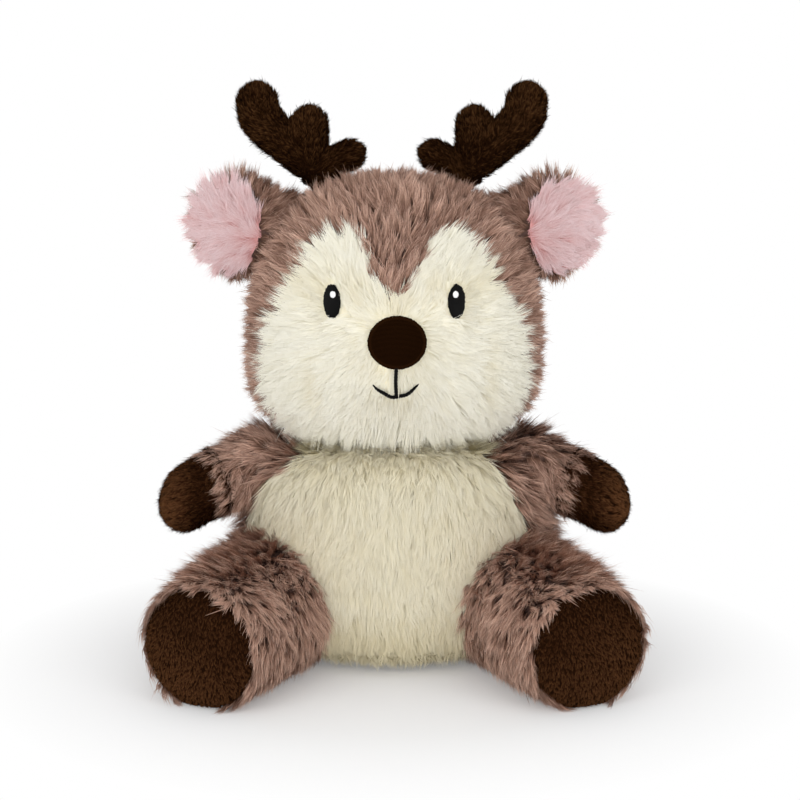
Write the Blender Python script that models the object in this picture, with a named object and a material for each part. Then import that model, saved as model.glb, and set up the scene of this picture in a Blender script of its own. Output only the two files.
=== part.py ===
"""Sitting plush deer, 25 cm tall to the tips of its antlers.

Fur-fabric covers and their sewn-in panels, the stuffing inside them, and the seams on which the neck,
head, arms, legs, ears, antlers and tail bend. The deer faces -Y and sits on Z = 0, and its own left is +X.
Lengths are in metres. A name that ends in share or shares is a ratio.
"""
import math
from typing import NamedTuple

import bmesh
import bpy
import numpy as np
from mathutils import Vector

# Fabric and seams
SEAM_GAP = 0.0003
COVER_WALL = 0.005
LIMB_WALL = 0.004
ANTLER_WALL = 0.0025
FLOOR_CUT = 0.0005
CUT_OVERRUN = 0.060
SLOPE_STEP = 0.0003

# Body: a pear, widest a little below its middle
BODY_HALF_WIDTH = 0.067
BODY_FRONT = 0.048
BODY_BACK = 0.048
BODY_RISE = 0.049
BODY_DROP = 0.0455
BODY_Y = 0.0165
BODY_TOP_POWER = 3.2
BODY_BOTTOM_POWER = 3.0

# Head: a rounded trapezium with full cheeks and a raised muzzle
HEAD_HALF_WIDTH = 0.0645
HEAD_FRONT = 0.045
HEAD_BACK = 0.045
HEAD_RISE = 0.0715
HEAD_DROP = 0.0425
HEAD_FORWARD = 0.003
HEAD_TOP_POWER = 2.3
HEAD_BOTTOM_POWER = 3.7
MUZZLE_REACH = 0.007
MUZZLE_HALF_WIDTH = 0.026
MUZZLE_HALF_HEIGHT = 0.022
MUZZLE_BELOW_WIDEST = 0.004

# Seam of the face panel: its edge points at a place behind the head's middle
FACE_SEAM_APEX_BACK = 0.011

# Neck: two half balls on a short straight piece
NECK_SPACE = 0.006
NECK_RADIUS = 0.027
NECK_STRAIGHT = 0.0003

# Face
EYE_HALF_WIDTH = 0.0037
EYE_HALF_HEIGHT = 0.0070
EYE_THICKNESS = 0.0012
EYE_SPACING = 0.0520
EYE_ABOVE_WIDEST = 0.0220
HIGHLIGHT_RADIUS = 0.0014
HIGHLIGHT_THICKNESS = 0.0006
HIGHLIGHT_INWARD = 0.0008
HIGHLIGHT_UP = 0.0028
NOSE_HALF_WIDTH = 0.0118
NOSE_HALF_HEIGHT = 0.0108
NOSE_THICKNESS = 0.0032
NOSE_ABOVE_WIDEST = 0.0063
THREAD_RADIUS = 0.0009
MOUTH_TOP_BELOW_WIDEST = 0.0055
MOUTH_JOIN_BELOW_WIDEST = 0.0162
SMILE_HALF_WIDTH = 0.0092
SMILE_LIFT = 0.0052
PATCH_RING_SHARES = (0.45, 0.82, 1.0)
PATCH_EDGE_SHARE = 0.35

# Arms and hooves
ARM_BALL_RADIUS = 0.017
ARM_LENGTH = 0.038
ARM_SPREAD = 0.056
ARM_Y = 0.014
ARM_Z = 0.0865
WRIST_AT = 0.026
HOOF_CURL = 0.004
ARM_RAISE = math.radians(25)
ARM_LOWER = math.radians(10)
ARM_DIRECTION_SHARES = (0.87, -0.40, -0.26)
ARM_RADIUS_SHARES = (1.0, 0.97, 0.91, 0.86, 0.83, 0.82)

# Legs and soles
LEG_BALL_RADIUS = 0.029
LEG_LENGTH = 0.073
LEG_SPREAD = 0.0490
LEG_Y = 0.002
SOLE_RADIUS = 0.0240
SOLE_SEAM_DEPTH = 0.020
SOLE_CROWN = 0.0105
LEG_RAISE = math.radians(20)
LEG_LOWER = math.radians(8)
LEG_DIRECTION_SHARES = (0.42, -0.905, -0.040)
LEG_RADIUS_SHARES = (1.0, 0.98, 0.95, 0.925, 0.90)

# Ears
EAR_BALL_RADIUS = 0.0095
EAR_LENGTH = 0.040
EAR_HALF_HEIGHT = 0.0225
EAR_SPREAD = 0.049
EAR_BEHIND_HEAD_CENTRE = 0.004
EAR_ABOVE_WIDEST = 0.0455
EAR_CROWN = 0.0079
EAR_FLAP = math.radians(14)
LINING_RIM = 0.0035
LINING_THICKNESS = 0.0036
LINING_FORWARD = 0.0062
LINING_ALONG = 0.024
LINING_EDGE_POWER = 0.6
EAR_DIRECTION_SHARES = (0.985, -0.10, 0.10)
EAR_SWELL_SHARES = (0.422, 0.52, 0.76, 0.93, 1.0, 0.93, 0.70)
EAR_FLAT_SHARES = (1.0, 0.95, 0.62, 0.42, 0.36, 0.36, 0.38)

# Antlers
ANTLER_ROOT_RADIUS = 0.0072
ANTLER_BEAM_RADIUS = 0.0084
ANTLER_TINE_RADIUS = 0.0079
ANTLER_SPUR_RADIUS = 0.0063
ANTLER_RISE = 0.0400
ANTLER_SPREAD = 0.0317
ANTLER_BEHIND_HEAD_CENTRE = 0.0105
ANTLER_ROOT_DEPTH = 0.0040
ANTLER_OPENING_RADIUS = 0.0034
ANTLER_SOCKET_REACH = 0.014
ANTLER_FLOP = math.radians(15)
BEAM_PATH_SHARES = ((0.0, 0.0), (0.09, 0.20), (0.28, 0.42), (0.51, 0.66), (0.63, 0.86), (0.67, 1.0))
BEAM_RADIUS_SHARES = (0.857, 0.76, 0.94, 1.03, 1.01, 0.98)
TINE_PATH_SHARES = ((0.26, 0.42), (0.18, 0.60), (0.12, 0.765))
SPUR_PATH_SHARES = ((0.06, 0.26), (-0.13, 0.37), (-0.29, 0.43))

# Tail and the bag of pellets in the seat
TAIL_BALL_RADIUS = 0.0085
TAIL_LENGTH = 0.0125
TAIL_INTO_BODY = 0.0030
TAIL_Z = 0.026
TAIL_WAG = math.radians(15)
TAIL_DIRECTION_SHARES = (0.0, 0.83, 0.56)
TAIL_RADIUS_SHARES = (1.0, 1.05, 0.95)
PELLET_BAG_HALF_WIDTH = 0.030
PELLET_BAG_HALF_DEPTH = 0.024
PELLET_BAG_RISE = 0.016
PELLET_BAG_DROP = 0.008
PELLET_BAG_POWER = 2.0

# Outlines of the panels, from the middle of the top round to the middle of the bottom.
# Each point is across by the half width, and up by the rise or down by the drop.
FACE_OUTLINE_SHARES = (
    (0.0, 0.38), (0.10, 0.43), (0.155, 0.60), (0.25, 0.72), (0.43, 0.755), (0.60, 0.66), (0.69, 0.50),
    (0.76, 0.32), (0.87, 0.14), (0.915, -0.12), (0.90, -0.50), (0.76, -0.85), (0.46, -0.965), (0.0, -0.98),
)
BELLY_OUTLINE_SHARES = (
    (0.0, 0.98), (0.45, 0.94), (0.66, 0.84), (0.80, 0.62), (0.88, 0.30), (0.89, 0.0),
    (0.83, -0.35), (0.68, -0.65), (0.50, -0.86), (0.34, -0.955), (0.0, -0.97),
)

# Counts of facets: outer surfaces first, then hollows and stuffing
BODY_SIDES, BODY_LEVELS = 28, 12
BODY_INNER_SIDES, BODY_INNER_LEVELS = 16, 8
HEAD_SIDES, HEAD_LEVELS = 28, 13
HEAD_INNER_SIDES, HEAD_INNER_LEVELS = 16, 8
NECK_SIDES, NECK_CAPS = 28, 6
LEG_SIDES, LEG_INNER_SIDES, LEG_CAPS = 20, 12, 4
SOLE_SIDES = 26
ARM_SIDES, ARM_INNER_SIDES, ARM_CAPS = 16, 10, 3
EAR_SIDES, EAR_CAPS = 16, 3
ANTLER_SIDES, ANTLER_INNER_SIDES, ANTLER_CAPS = 12, 8, 3
TAIL_SIDES, TAIL_CAPS = 12, 3
STITCH_SIDES, STITCH_CAPS = 6, 2
PATCH_SIDES = 14
HIGHLIGHT_SIDES = 8
SMILE_POINTS = 7
BAR_SIDES = 8
BAG_SIDES, BAG_LEVELS = 14, 8
OUTLINE_STEPS = 2

# Places that follow from the sizes above
BODY_WIDEST_Z = BODY_DROP - FLOOR_CUT
HEAD_WIDEST_Z = BODY_WIDEST_Z + BODY_RISE + NECK_SPACE + HEAD_DROP
HEAD_Y = BODY_Y - HEAD_FORWARD
NECK_PIVOT = Vector((0, BODY_Y, BODY_WIDEST_Z + BODY_RISE + NECK_SPACE / 2))

COLOURS = {
    "mauve_fur": ((0.245, 0.160, 0.137), 0.95),
    "cream_fur": ((0.86, 0.82, 0.66), 0.95),
    "brown_nap": ((0.040, 0.016, 0.008), 0.90),
    "pink_fur": ((0.84, 0.46, 0.46), 0.95),
    "black_thread": ((0.006, 0.006, 0.006), 0.45),
    "white_thread": ((0.88, 0.88, 0.88), 0.50),
    "fibre_filling": ((0.78, 0.78, 0.76), 1.0),
    "calico": ((0.62, 0.55, 0.42), 1.0),
}


def material(name):
    """Principled material of one colour, made once."""
    if name in bpy.data.materials:
        return bpy.data.materials[name]
    made = bpy.data.materials.new(name)
    made.use_nodes = True
    shader = made.node_tree.nodes["Principled BSDF"]
    colour, roughness = COLOURS[name]
    shader.inputs["Base Color"].default_value = (*colour, 1.0)
    shader.inputs["Roughness"].default_value = roughness
    shader.inputs["Metallic"].default_value = 0.0
    return made


# Joint pivots, each an empty that carries what turns on it


def joint_empty(name, pivot, parent=None):
    """Empty on a joint's axis, at a place in the world."""
    empty = bpy.data.objects.new(name, None)
    bpy.context.collection.objects.link(empty)
    empty["pivot"] = tuple(pivot)
    if parent is not None:
        empty.parent = parent
        empty.location = pivot - Vector(parent["pivot"])
    else:
        empty.location = pivot
    return empty


# Solids from rings of points


def skin(name, rings, first=None, last=None):
    """Mesh object over closed rings; an end closes on its tip, or flat where it has none."""
    shape = bmesh.new()
    loops = [[shape.verts.new(point) for point in ring] for ring in rings]
    for near, far in zip(loops, loops[1:]):
        for i in range(len(near)):
            shape.faces.new((near[i - 1], near[i], far[i]))
            shape.faces.new((near[i - 1], far[i], far[i - 1]))
    for loop, tip in ((loops[0], first), (loops[-1], last)):
        if tip is None:
            shape.faces.new(loop)
            continue
        point = shape.verts.new(tip)
        for i in range(len(loop)):
            shape.faces.new((loop[i - 1], loop[i], point))
    bmesh.ops.recalc_face_normals(shape, faces=shape.faces)
    mesh = bpy.data.meshes.new(name)
    shape.to_mesh(mesh)
    shape.free()
    made = bpy.data.objects.new(name, mesh)
    bpy.context.collection.objects.link(made)
    return made


def as_piece(made, colour, joint=None):
    """Paint an object and hang it on its joint's empty, with its origin on the pivot."""
    made.data.materials.append(material(colour))
    made.data.shade_smooth()
    made.data.set_sharp_from_angle(angle=math.radians(40))
    if joint is not None:
        pivot = Vector(joint["pivot"])
        made.data.transform(made.matrix_basis.Translation(-pivot))
        made.parent = joint
    return made


def as_cutter(made):
    """Mark an object as a cutter, which is no piece of the deer."""
    made.hide_render = True
    made.display_type = "WIRE"
    return made


def combine(piece, operation, *cutters):
    """Cut a piece by others, join them to it, or keep what they share."""
    for cutter in cutters:
        step = piece.modifiers.new(cutter.name, "BOOLEAN")
        step.operation = operation
        step.solver = "EXACT"
        step.object = cutter


def smooth_rows(rows, steps):
    """Catmull-Rom curve through rows of numbers, read at even steps between each two."""
    rows = np.array(rows, float)
    rows = np.vstack([2 * rows[0] - rows[1], rows, 2 * rows[-1] - rows[-2]])
    read = []
    for a, b, c, d in zip(rows, rows[1:], rows[2:], rows[3:]):
        for t in np.linspace(0, 1, steps, endpoint=False):
            read.append(0.5 * (2 * b + (c - a) * t + (2 * a - 5 * b + 4 * c - d) * t**2
                               + (3 * b - a - 3 * c + d) * t**3))
    read.append(rows[-2])
    return np.array(read)


# Swollen forms: the body and the head


class Swell(NamedTuple):
    """Level rings under a superellipse profile, with an optional muzzle raised on the front."""
    centre_y: float
    widest_z: float
    half_width: float
    front: float
    back: float
    rise: float
    drop: float
    top_power: float
    bottom_power: float
    muzzle: float = 0.0

    def grown(self, by):
        """The same form, larger all round."""
        return self._replace(
            half_width=self.half_width + by, front=self.front + by, back=self.back + by,
            rise=self.rise + by, drop=self.drop + by)

    def ring_share(self, z):
        """Size of the level ring at a height, as a share of the widest."""
        above = z > self.widest_z
        power = self.top_power if above else self.bottom_power
        height = abs(z - self.widest_z) / (self.rise if above else self.drop)
        return max(1 - height**power, 0) ** (1 / power)

    def raised(self, x, z):
        """How far the muzzle stands out from the plain form."""
        across = x / MUZZLE_HALF_WIDTH
        up = (z - self.widest_z + MUZZLE_BELOW_WIDEST) / MUZZLE_HALF_HEIGHT
        return self.muzzle * math.exp(-across**2 - up**2)

    def front_point(self, x, z, out=0.0):
        """Point of the front surface at a place across and up, moved out along the surface's normal."""
        def depth(x, z):
            ring = self.ring_share(z)
            across = min(abs(x) / max(self.half_width * ring, SLOPE_STEP), 1)
            level = math.sqrt(1 - across**2)
            return self.centre_y - (self.front * ring + self.raised(x, z)) * level
        slope_x = (depth(x + SLOPE_STEP, z) - depth(x - SLOPE_STEP, z)) / (2 * SLOPE_STEP)
        slope_z = (depth(x, z + SLOPE_STEP) - depth(x, z - SLOPE_STEP)) / (2 * SLOPE_STEP)
        normal = Vector((slope_x, -1, slope_z)).normalized()
        return Vector((x, depth(x, z), z)) + normal * out

    def solid(self, name, sides, levels):
        """Closed mesh of the form, from its top to its bottom."""
        rings = []
        for level in range(1, levels):
            turn = math.pi * level / levels
            above = turn < math.pi / 2
            power = self.top_power if above else self.bottom_power
            ring = math.sin(turn) ** (2 / power)
            height = abs(math.cos(turn)) ** (2 / power)
            z = self.widest_z + (self.rise * height if above else -self.drop * height)
            points = []
            for i in range(sides):
                angle = 2 * math.pi * (i + 0.5) / sides
                x = self.half_width * ring * math.cos(angle)
                level_front = max(-math.sin(angle), 0)
                deep = self.front if math.sin(angle) < 0 else self.back
                y = self.centre_y + deep * ring * math.sin(angle) - self.raised(x, z) * level_front
                points.append((x, y, z))
            rings.append(points)
        top = (0, self.centre_y, self.widest_z + self.rise)
        bottom = (0, self.centre_y, self.widest_z - self.drop)
        return skin(name, rings, top, bottom)

    def outline_points(self, shares, grow):
        """Closed smooth outline on the front from its half table of shares, grown sideways."""
        half = []
        for across, up in shares:
            height = self.rise if up > 0 else self.drop
            half.append((across * self.half_width, self.widest_z + up * height))
        whole = half + [(-x, z) for x, z in half[-2:0:-1]]
        count = len(whole)
        padded = whole[-2:] + whole + whole[:3]
        curve = smooth_rows(padded, OUTLINE_STEPS)[2 * OUTLINE_STEPS:(2 + count) * OUTLINE_STEPS]
        ahead = np.roll(curve, -1, axis=0) - np.roll(curve, 1, axis=0)
        ahead /= np.linalg.norm(ahead, axis=1, keepdims=True)
        outward = np.column_stack([-ahead[:, 1], ahead[:, 0]])
        spin = np.sum(curve[:, 0] * np.roll(curve[:, 1], -1) - np.roll(curve[:, 0], -1) * curve[:, 1])
        if spin > 0:
            outward = -outward
        return [self.front_point(x, z) for x, z in curve + outward * grow]


def panel_cutter(name, form, shares, apex, grow):
    """Cone from a point inside a form, through a panel's outline on its front."""
    outline = form.outline_points(shares, grow)
    reach = 2 * form.half_width
    far = [apex + (point - apex).normalized() * reach for point in outline]
    middle = apex + Vector((0, -reach, 0))
    return as_cutter(skin(name, [far], first=apex, last=middle))


BODY = Swell(BODY_Y, BODY_WIDEST_Z, BODY_HALF_WIDTH, BODY_FRONT, BODY_BACK, BODY_RISE, BODY_DROP,
             BODY_TOP_POWER, BODY_BOTTOM_POWER)
HEAD = Swell(HEAD_Y, HEAD_WIDEST_Z, HEAD_HALF_WIDTH, HEAD_FRONT, HEAD_BACK, HEAD_RISE, HEAD_DROP,
             HEAD_TOP_POWER, HEAD_BOTTOM_POWER, MUZZLE_REACH)


# Stuffed limbs


class Limb(NamedTuple):
    """Rings on a centre line, with a rounded cap on each end; it swings about the hinge direction."""
    centres: tuple
    radii: tuple
    flats: tuple
    hinge: Vector
    sides: int
    caps: int
    end_crown: float = 0.0

    def pivot(self):
        return Vector(self.centres[0])

    def along(self):
        return (Vector(self.centres[1]) - self.pivot()).normalized()

    def solid(self, name, grow=0.0, raise_by=0.0, lower_by=0.0, reach=None, sides=None):
        """Closed mesh, grown all round, and fanned out by the angles that it swings through."""
        sides = sides or self.sides
        rows = np.array([(*centre, radius, flat)
                         for centre, radius, flat in zip(self.centres, self.radii, self.flats)])
        pivot, along = self.pivot(), self.along()
        travels = (rows[:, :3] - np.array(pivot)) @ np.array(along)
        tangents = np.gradient(rows[:, :3], axis=0)
        stations = []
        for row, tangent in zip(rows, tangents):
            stations.append((Vector(row[:3]), Vector(tangent).normalized(), row[3] + grow, row[4]))
        if reach is not None:
            stations = [s for s in stations if (s[0] - pivot).dot(along) <= reach]
        first, last = stations[0], stations[-1]
        crown = self.end_crown + grow if self.end_crown else last[2]
        turns = [math.pi / 2 * i / self.caps for i in range(1, self.caps)]
        steps = [(1 - math.cos(turn), math.sin(turn)) for turn in turns]
        caps_before, caps_after = [], []
        for lag, wide in steps:
            centre, tangent, radius, flat = first
            caps_before.append((centre - tangent * radius * (1 - lag), tangent, radius * wide, flat))
            centre, tangent, radius, flat = last
            caps_after.insert(0, (centre + tangent * crown * (1 - lag), tangent, radius * wide, flat))
        rings = []
        for centre, tangent, radius, flat in caps_before + stations + caps_after:
            wide = (self.hinge - tangent * self.hinge.dot(tangent)).normalized()
            deep = wide.cross(tangent)
            travel = (centre - pivot).dot(along)
            own_radius = np.interp(travel, travels, rows[:, 3])
            ring = []
            for i in range(sides):
                angle = 2 * math.pi * (i + 0.5) / sides
                swing = raise_by if math.sin(angle) > 0 else -lower_by
                offset = radius * flat * math.sin(angle)
                across = radius * math.cos(angle)
                if travel > -SLOPE_STEP:
                    drawn_in_radius = np.interp(travel + offset * math.sin(swing), travels, rows[:, 3])
                    swell_share = max(drawn_in_radius / own_radius, 1)
                    across *= swell_share
                    offset = offset * swell_share / math.cos(swing) + max(travel, 0) * math.tan(swing)
                ring.append(centre + wide * across + deep * offset)
            rings.append(ring)
        start = first[0] - first[1] * first[2]
        end = last[0] + last[1] * crown
        return skin(name, rings, start, end)


def running_gap(radius, sides):
    """Gap round a ball that stays clear of the flat facets of its socket while it turns."""
    return SEAM_GAP + radius * (1 / math.cos(math.pi / sides) ** 2 - 1)


def mirrored(shares, side):
    """Direction of a limb on one side of the body."""
    return Vector((shares[0] * side, *shares[1:])).normalized()


def level_hinge(direction):
    """Level axis square to a limb, about which a positive turn raises it."""
    return direction.cross(Vector((0, 0, 1))).normalized()


def straight_limb(pivot, direction, length, radius, shares, sides, caps, curl=0.0, end_crown=0.0):
    """Limb on a straight line whose end may curl towards the floor, on a level hinge."""
    hinge = level_hinge(direction)
    fractions = np.linspace(0, 1, len(shares))
    down = -hinge.cross(direction)
    centres = tuple(tuple(pivot + direction * length * f + down * curl * f**3) for f in fractions)
    radii = tuple(radius * share for share in shares)
    return Limb(centres, radii, tuple(1.0 for _ in shares), hinge, sides, caps, end_crown)


def slab(name, low, high):
    """Box between two corners, as a cutter."""
    ring = [(low[0], low[1]), (high[0], low[1]), (high[0], high[1]), (low[0], high[1])]
    return as_cutter(skin(name, [[(x, y, low[2]) for x, y in ring], [(x, y, high[2]) for x, y in ring]]))


def bar_cutter(name, centre, direction, radius, length):
    """Round bar from a centre along a direction, as a cutter."""
    across = direction.orthogonal().normalized()
    other = direction.cross(across)
    rings = []
    for at in (0, length):
        middle = centre + direction * at
        rings.append([middle + (across * math.cos(a) + other * math.sin(a)) * radius
                      for a in np.linspace(0, 2 * math.pi, BAR_SIDES, endpoint=False)])
    return as_cutter(skin(name, rings))


# Start from an empty scene

for left_over in list(bpy.data.objects):
    bpy.data.objects.remove(left_over, do_unlink=True)

floor_reach = LEG_SPREAD + LEG_LENGTH + LEG_BALL_RADIUS
floor = slab("floor_cutter", (-floor_reach, -floor_reach, -CUT_OVERRUN), (floor_reach, floor_reach, 0))

neck_joint = joint_empty("neck_joint", NECK_PIVOT)
head_joint = joint_empty("head_joint", NECK_PIVOT, neck_joint)

# Neck: a firm ball of stuffing in the openings of the body and the head

neck_limb = Limb((tuple(NECK_PIVOT), tuple(NECK_PIVOT + Vector((0, 0, NECK_STRAIGHT)))),
                 (NECK_RADIUS, NECK_RADIUS), (1.0, 1.0), Vector((1, 0, 0)), NECK_SIDES, NECK_CAPS)
as_piece(neck_limb.solid("neck_stuffing"), "fibre_filling", neck_joint)
neck_socket = as_cutter(neck_limb.solid("neck_socket", running_gap(NECK_RADIUS, NECK_SIDES)))

body_sockets = [neck_socket]
head_sockets = [neck_socket]

# Arms: fur sleeves with curled hooves sewn on at the wrists

for name, side in (("left", 1), ("right", -1)):
    direction = mirrored(ARM_DIRECTION_SHARES, side)
    pivot = Vector((ARM_SPREAD * side, ARM_Y, ARM_Z))
    arm = straight_limb(pivot, direction, ARM_LENGTH, ARM_BALL_RADIUS, ARM_RADIUS_SHARES,
                        ARM_SIDES, ARM_CAPS, HOOF_CURL)
    joint = joint_empty("shoulder_joint_" + name, pivot)
    hollow = as_cutter(arm.solid("arm_hollow_" + name, -LIMB_WALL, sides=ARM_INNER_SIDES))
    past_seam = bar_cutter("wrist_cutter_" + name, pivot + direction * WRIST_AT, direction,
                            CUT_OVERRUN, CUT_OVERRUN)
    past_gap = bar_cutter("wrist_gap_cutter_" + name, pivot + direction * (WRIST_AT + SEAM_GAP), direction,
                           CUT_OVERRUN, CUT_OVERRUN)
    sleeve = as_piece(arm.solid("arm_cover_" + name), "mauve_fur", joint)
    combine(sleeve, "DIFFERENCE", past_seam, hollow)
    hoof = as_piece(arm.solid("hoof_" + name), "brown_nap", joint)
    combine(hoof, "INTERSECT", past_gap)
    combine(hoof, "DIFFERENCE", hollow)
    stuffing = arm.solid("arm_stuffing_" + name, -LIMB_WALL - SEAM_GAP, sides=ARM_INNER_SIDES)
    as_piece(stuffing, "fibre_filling", joint)
    gap = running_gap(ARM_BALL_RADIUS, ARM_SIDES)
    body_sockets.append(as_cutter(arm.solid("arm_socket_" + name, gap, ARM_RAISE, ARM_LOWER)))

# Legs: fur tubes closed by round soles

for name, side in (("left", 1), ("right", -1)):
    direction = mirrored(LEG_DIRECTION_SHARES, side)
    pivot = Vector((LEG_SPREAD * side, LEG_Y, LEG_BALL_RADIUS - FLOOR_CUT))
    leg = straight_limb(pivot, direction, LEG_LENGTH, LEG_BALL_RADIUS, LEG_RADIUS_SHARES,
                        LEG_SIDES, LEG_CAPS, end_crown=SOLE_CROWN)
    joint = joint_empty("hip_joint_" + name, pivot)
    hollow = as_cutter(leg.solid("leg_hollow_" + name, -LIMB_WALL, sides=LEG_INNER_SIDES))
    apex = pivot + direction * (LEG_LENGTH - SOLE_SEAM_DEPTH)
    sole_cutters = []
    for kind, radius in (("sole_cutter_", SOLE_RADIUS), ("sole_gap_cutter_", SOLE_RADIUS + SEAM_GAP)):
        across = level_hinge(direction)
        up = across.cross(direction)
        turns = np.linspace(0, 2 * math.pi, SOLE_SIDES, endpoint=False)
        rim = [apex + (direction * SOLE_SEAM_DEPTH + (across * math.cos(a) + up * math.sin(a)) * radius) * 2
               for a in turns]
        middle = apex + direction * SOLE_SEAM_DEPTH * 2
        sole_cutters.append(as_cutter(skin(kind + name, [rim], first=apex, last=middle)))
    cover = as_piece(leg.solid("leg_cover_" + name), "mauve_fur", joint)
    combine(cover, "DIFFERENCE", sole_cutters[1], hollow, floor)
    sole = as_piece(leg.solid("sole_" + name), "brown_nap", joint)
    combine(sole, "INTERSECT", sole_cutters[0])
    combine(sole, "DIFFERENCE", hollow, floor)
    stuffing = leg.solid("leg_stuffing_" + name, -LIMB_WALL - SEAM_GAP, sides=LEG_INNER_SIDES)
    as_piece(stuffing, "fibre_filling", joint)
    gap = running_gap(LEG_BALL_RADIUS, LEG_SIDES)
    body_sockets.append(as_cutter(leg.solid("leg_socket_" + name, gap, LEG_RAISE, LEG_LOWER)))

# Tail

tail_pivot = Vector((0, BODY_Y + BODY_BACK * BODY.ring_share(TAIL_Z) - TAIL_INTO_BODY, TAIL_Z))
tail_direction = Vector(TAIL_DIRECTION_SHARES).normalized()
tail = straight_limb(tail_pivot, tail_direction, TAIL_LENGTH, TAIL_BALL_RADIUS, TAIL_RADIUS_SHARES,
                     TAIL_SIDES, TAIL_CAPS)
tail_joint = joint_empty("tail_joint", tail_pivot)
as_piece(tail.solid("tail"), "mauve_fur", tail_joint)
tail_gap = running_gap(TAIL_BALL_RADIUS, TAIL_SIDES)
body_sockets.append(as_cutter(tail.solid("tail_socket", tail_gap, TAIL_WAG, TAIL_WAG)))

# Body: mauve cover, cream belly panel, stuffing and a bag of pellets that weighs down the seat

body_apex = Vector((0, BODY_Y, BODY_WIDEST_Z))
body_hollow = as_cutter(BODY.grown(-COVER_WALL).solid("body_hollow", BODY_INNER_SIDES, BODY_INNER_LEVELS))
belly_cutter = panel_cutter("belly_cutter", BODY, BELLY_OUTLINE_SHARES, body_apex, 0)
belly_gap = panel_cutter("belly_gap_cutter", BODY, BELLY_OUTLINE_SHARES, body_apex, SEAM_GAP)

body_cover = as_piece(BODY.solid("body_cover", BODY_SIDES, BODY_LEVELS), "mauve_fur")
combine(body_cover, "DIFFERENCE", body_hollow, belly_gap, floor, *body_sockets)
belly_panel = as_piece(BODY.solid("belly_panel", BODY_SIDES, BODY_LEVELS), "cream_fur")
combine(belly_panel, "INTERSECT", belly_cutter)
combine(belly_panel, "DIFFERENCE", body_hollow, *body_sockets)

filling = BODY.grown(-COVER_WALL - SEAM_GAP)
seat_z = filling.widest_z - filling.drop


def pellet_bag_form(grow):
    """Flat bag whose underside follows the seat."""
    return Swell(BODY_Y, seat_z, PELLET_BAG_HALF_WIDTH, PELLET_BAG_HALF_DEPTH, PELLET_BAG_HALF_DEPTH,
                 PELLET_BAG_RISE, PELLET_BAG_DROP, PELLET_BAG_POWER, PELLET_BAG_POWER).grown(grow)


pellet_bag = as_piece(pellet_bag_form(0).solid("pellet_bag", BAG_SIDES, BAG_LEVELS), "calico")
seat_form = as_cutter(filling.solid("seat_form", BODY_INNER_SIDES, BODY_INNER_LEVELS))
combine(pellet_bag, "INTERSECT", seat_form)
body_stuffing = as_piece(filling.solid("body_stuffing", BODY_INNER_SIDES, BODY_INNER_LEVELS), "fibre_filling")
pellet_pocket = as_cutter(pellet_bag_form(SEAM_GAP).solid("pellet_pocket", BAG_SIDES, BAG_LEVELS))
combine(body_stuffing, "DIFFERENCE", pellet_pocket, *body_sockets)

# Ears: fur backs with pink cushions sewn into their hollow fronts

for name, side in (("left", 1), ("right", -1)):
    direction = mirrored(EAR_DIRECTION_SHARES, side)
    pivot = Vector((EAR_SPREAD * side, HEAD_Y + EAR_BEHIND_HEAD_CENTRE, HEAD_WIDEST_Z + EAR_ABOVE_WIDEST))
    fractions = np.linspace(0, 1, len(EAR_SWELL_SHARES))
    centres = tuple(tuple(pivot + direction * (EAR_LENGTH - EAR_CROWN) * f) for f in fractions)
    radii = tuple(EAR_HALF_HEIGHT * share for share in EAR_SWELL_SHARES)
    hinge = Vector((0, 0, 1))
    hinge = (hinge - direction * hinge.dot(direction)).normalized()
    ear = Limb(centres, radii, EAR_FLAT_SHARES, hinge, EAR_SIDES, EAR_CAPS, EAR_CROWN)
    joint = joint_empty("ear_joint_" + name, pivot, head_joint)
    back = as_piece(ear.solid("ear_back_" + name), "mauve_fur", joint)
    middle = pivot + direction * LINING_ALONG
    forward = hinge.cross(direction) * -side
    shapes = []
    for grow in (0, SEAM_GAP):
        wide = EAR_HALF_HEIGHT - LINING_RIM + grow
        thick = LINING_THICKNESS + grow
        rings = []
        for level in range(1, 2 * EAR_CAPS):
            turn = math.pi * level / (2 * EAR_CAPS)
            radius = wide * math.sin(turn) ** LINING_EDGE_POWER
            centre = middle + forward * (LINING_FORWARD + thick * math.cos(turn))
            rings.append([centre + (direction * math.cos(a) + hinge * math.sin(a)) * radius
                          for a in np.linspace(0, 2 * math.pi, EAR_SIDES, endpoint=False)])
        ends = [middle + forward * (LINING_FORWARD + thick * way) for way in (1, -1)]
        kind = "ear_pocket_" if grow else "ear_lining_"
        shapes.append(skin(kind + name, rings, *ends))
    lining, pocket = shapes
    as_piece(lining, "pink_fur", joint)
    combine(back, "DIFFERENCE", as_cutter(pocket))
    gap = running_gap(EAR_BALL_RADIUS, EAR_SIDES)
    head_sockets.append(as_cutter(ear.solid("ear_socket_" + name, gap, EAR_FLAP, EAR_FLAP)))

# Antlers: a beam, a tine and a spur in one stuffed cover


def branch(root, side, path, radii):
    """Branch of an antler along a path given in shares of its height; it flops forwards and back."""
    centres = tuple(tuple(root + Vector((x * side, 0, z)) * ANTLER_RISE) for x, z in path)
    return Limb(centres, radii, (1.0,) * len(path), Vector((1, 0, 0)), ANTLER_SIDES, ANTLER_CAPS)


antler_root_share = (1 - (ANTLER_SPREAD / HEAD_HALF_WIDTH) ** HEAD_TOP_POWER) ** (1 / HEAD_TOP_POWER)
antler_root_z = HEAD_WIDEST_Z + HEAD_RISE * antler_root_share - ANTLER_ROOT_DEPTH

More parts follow.
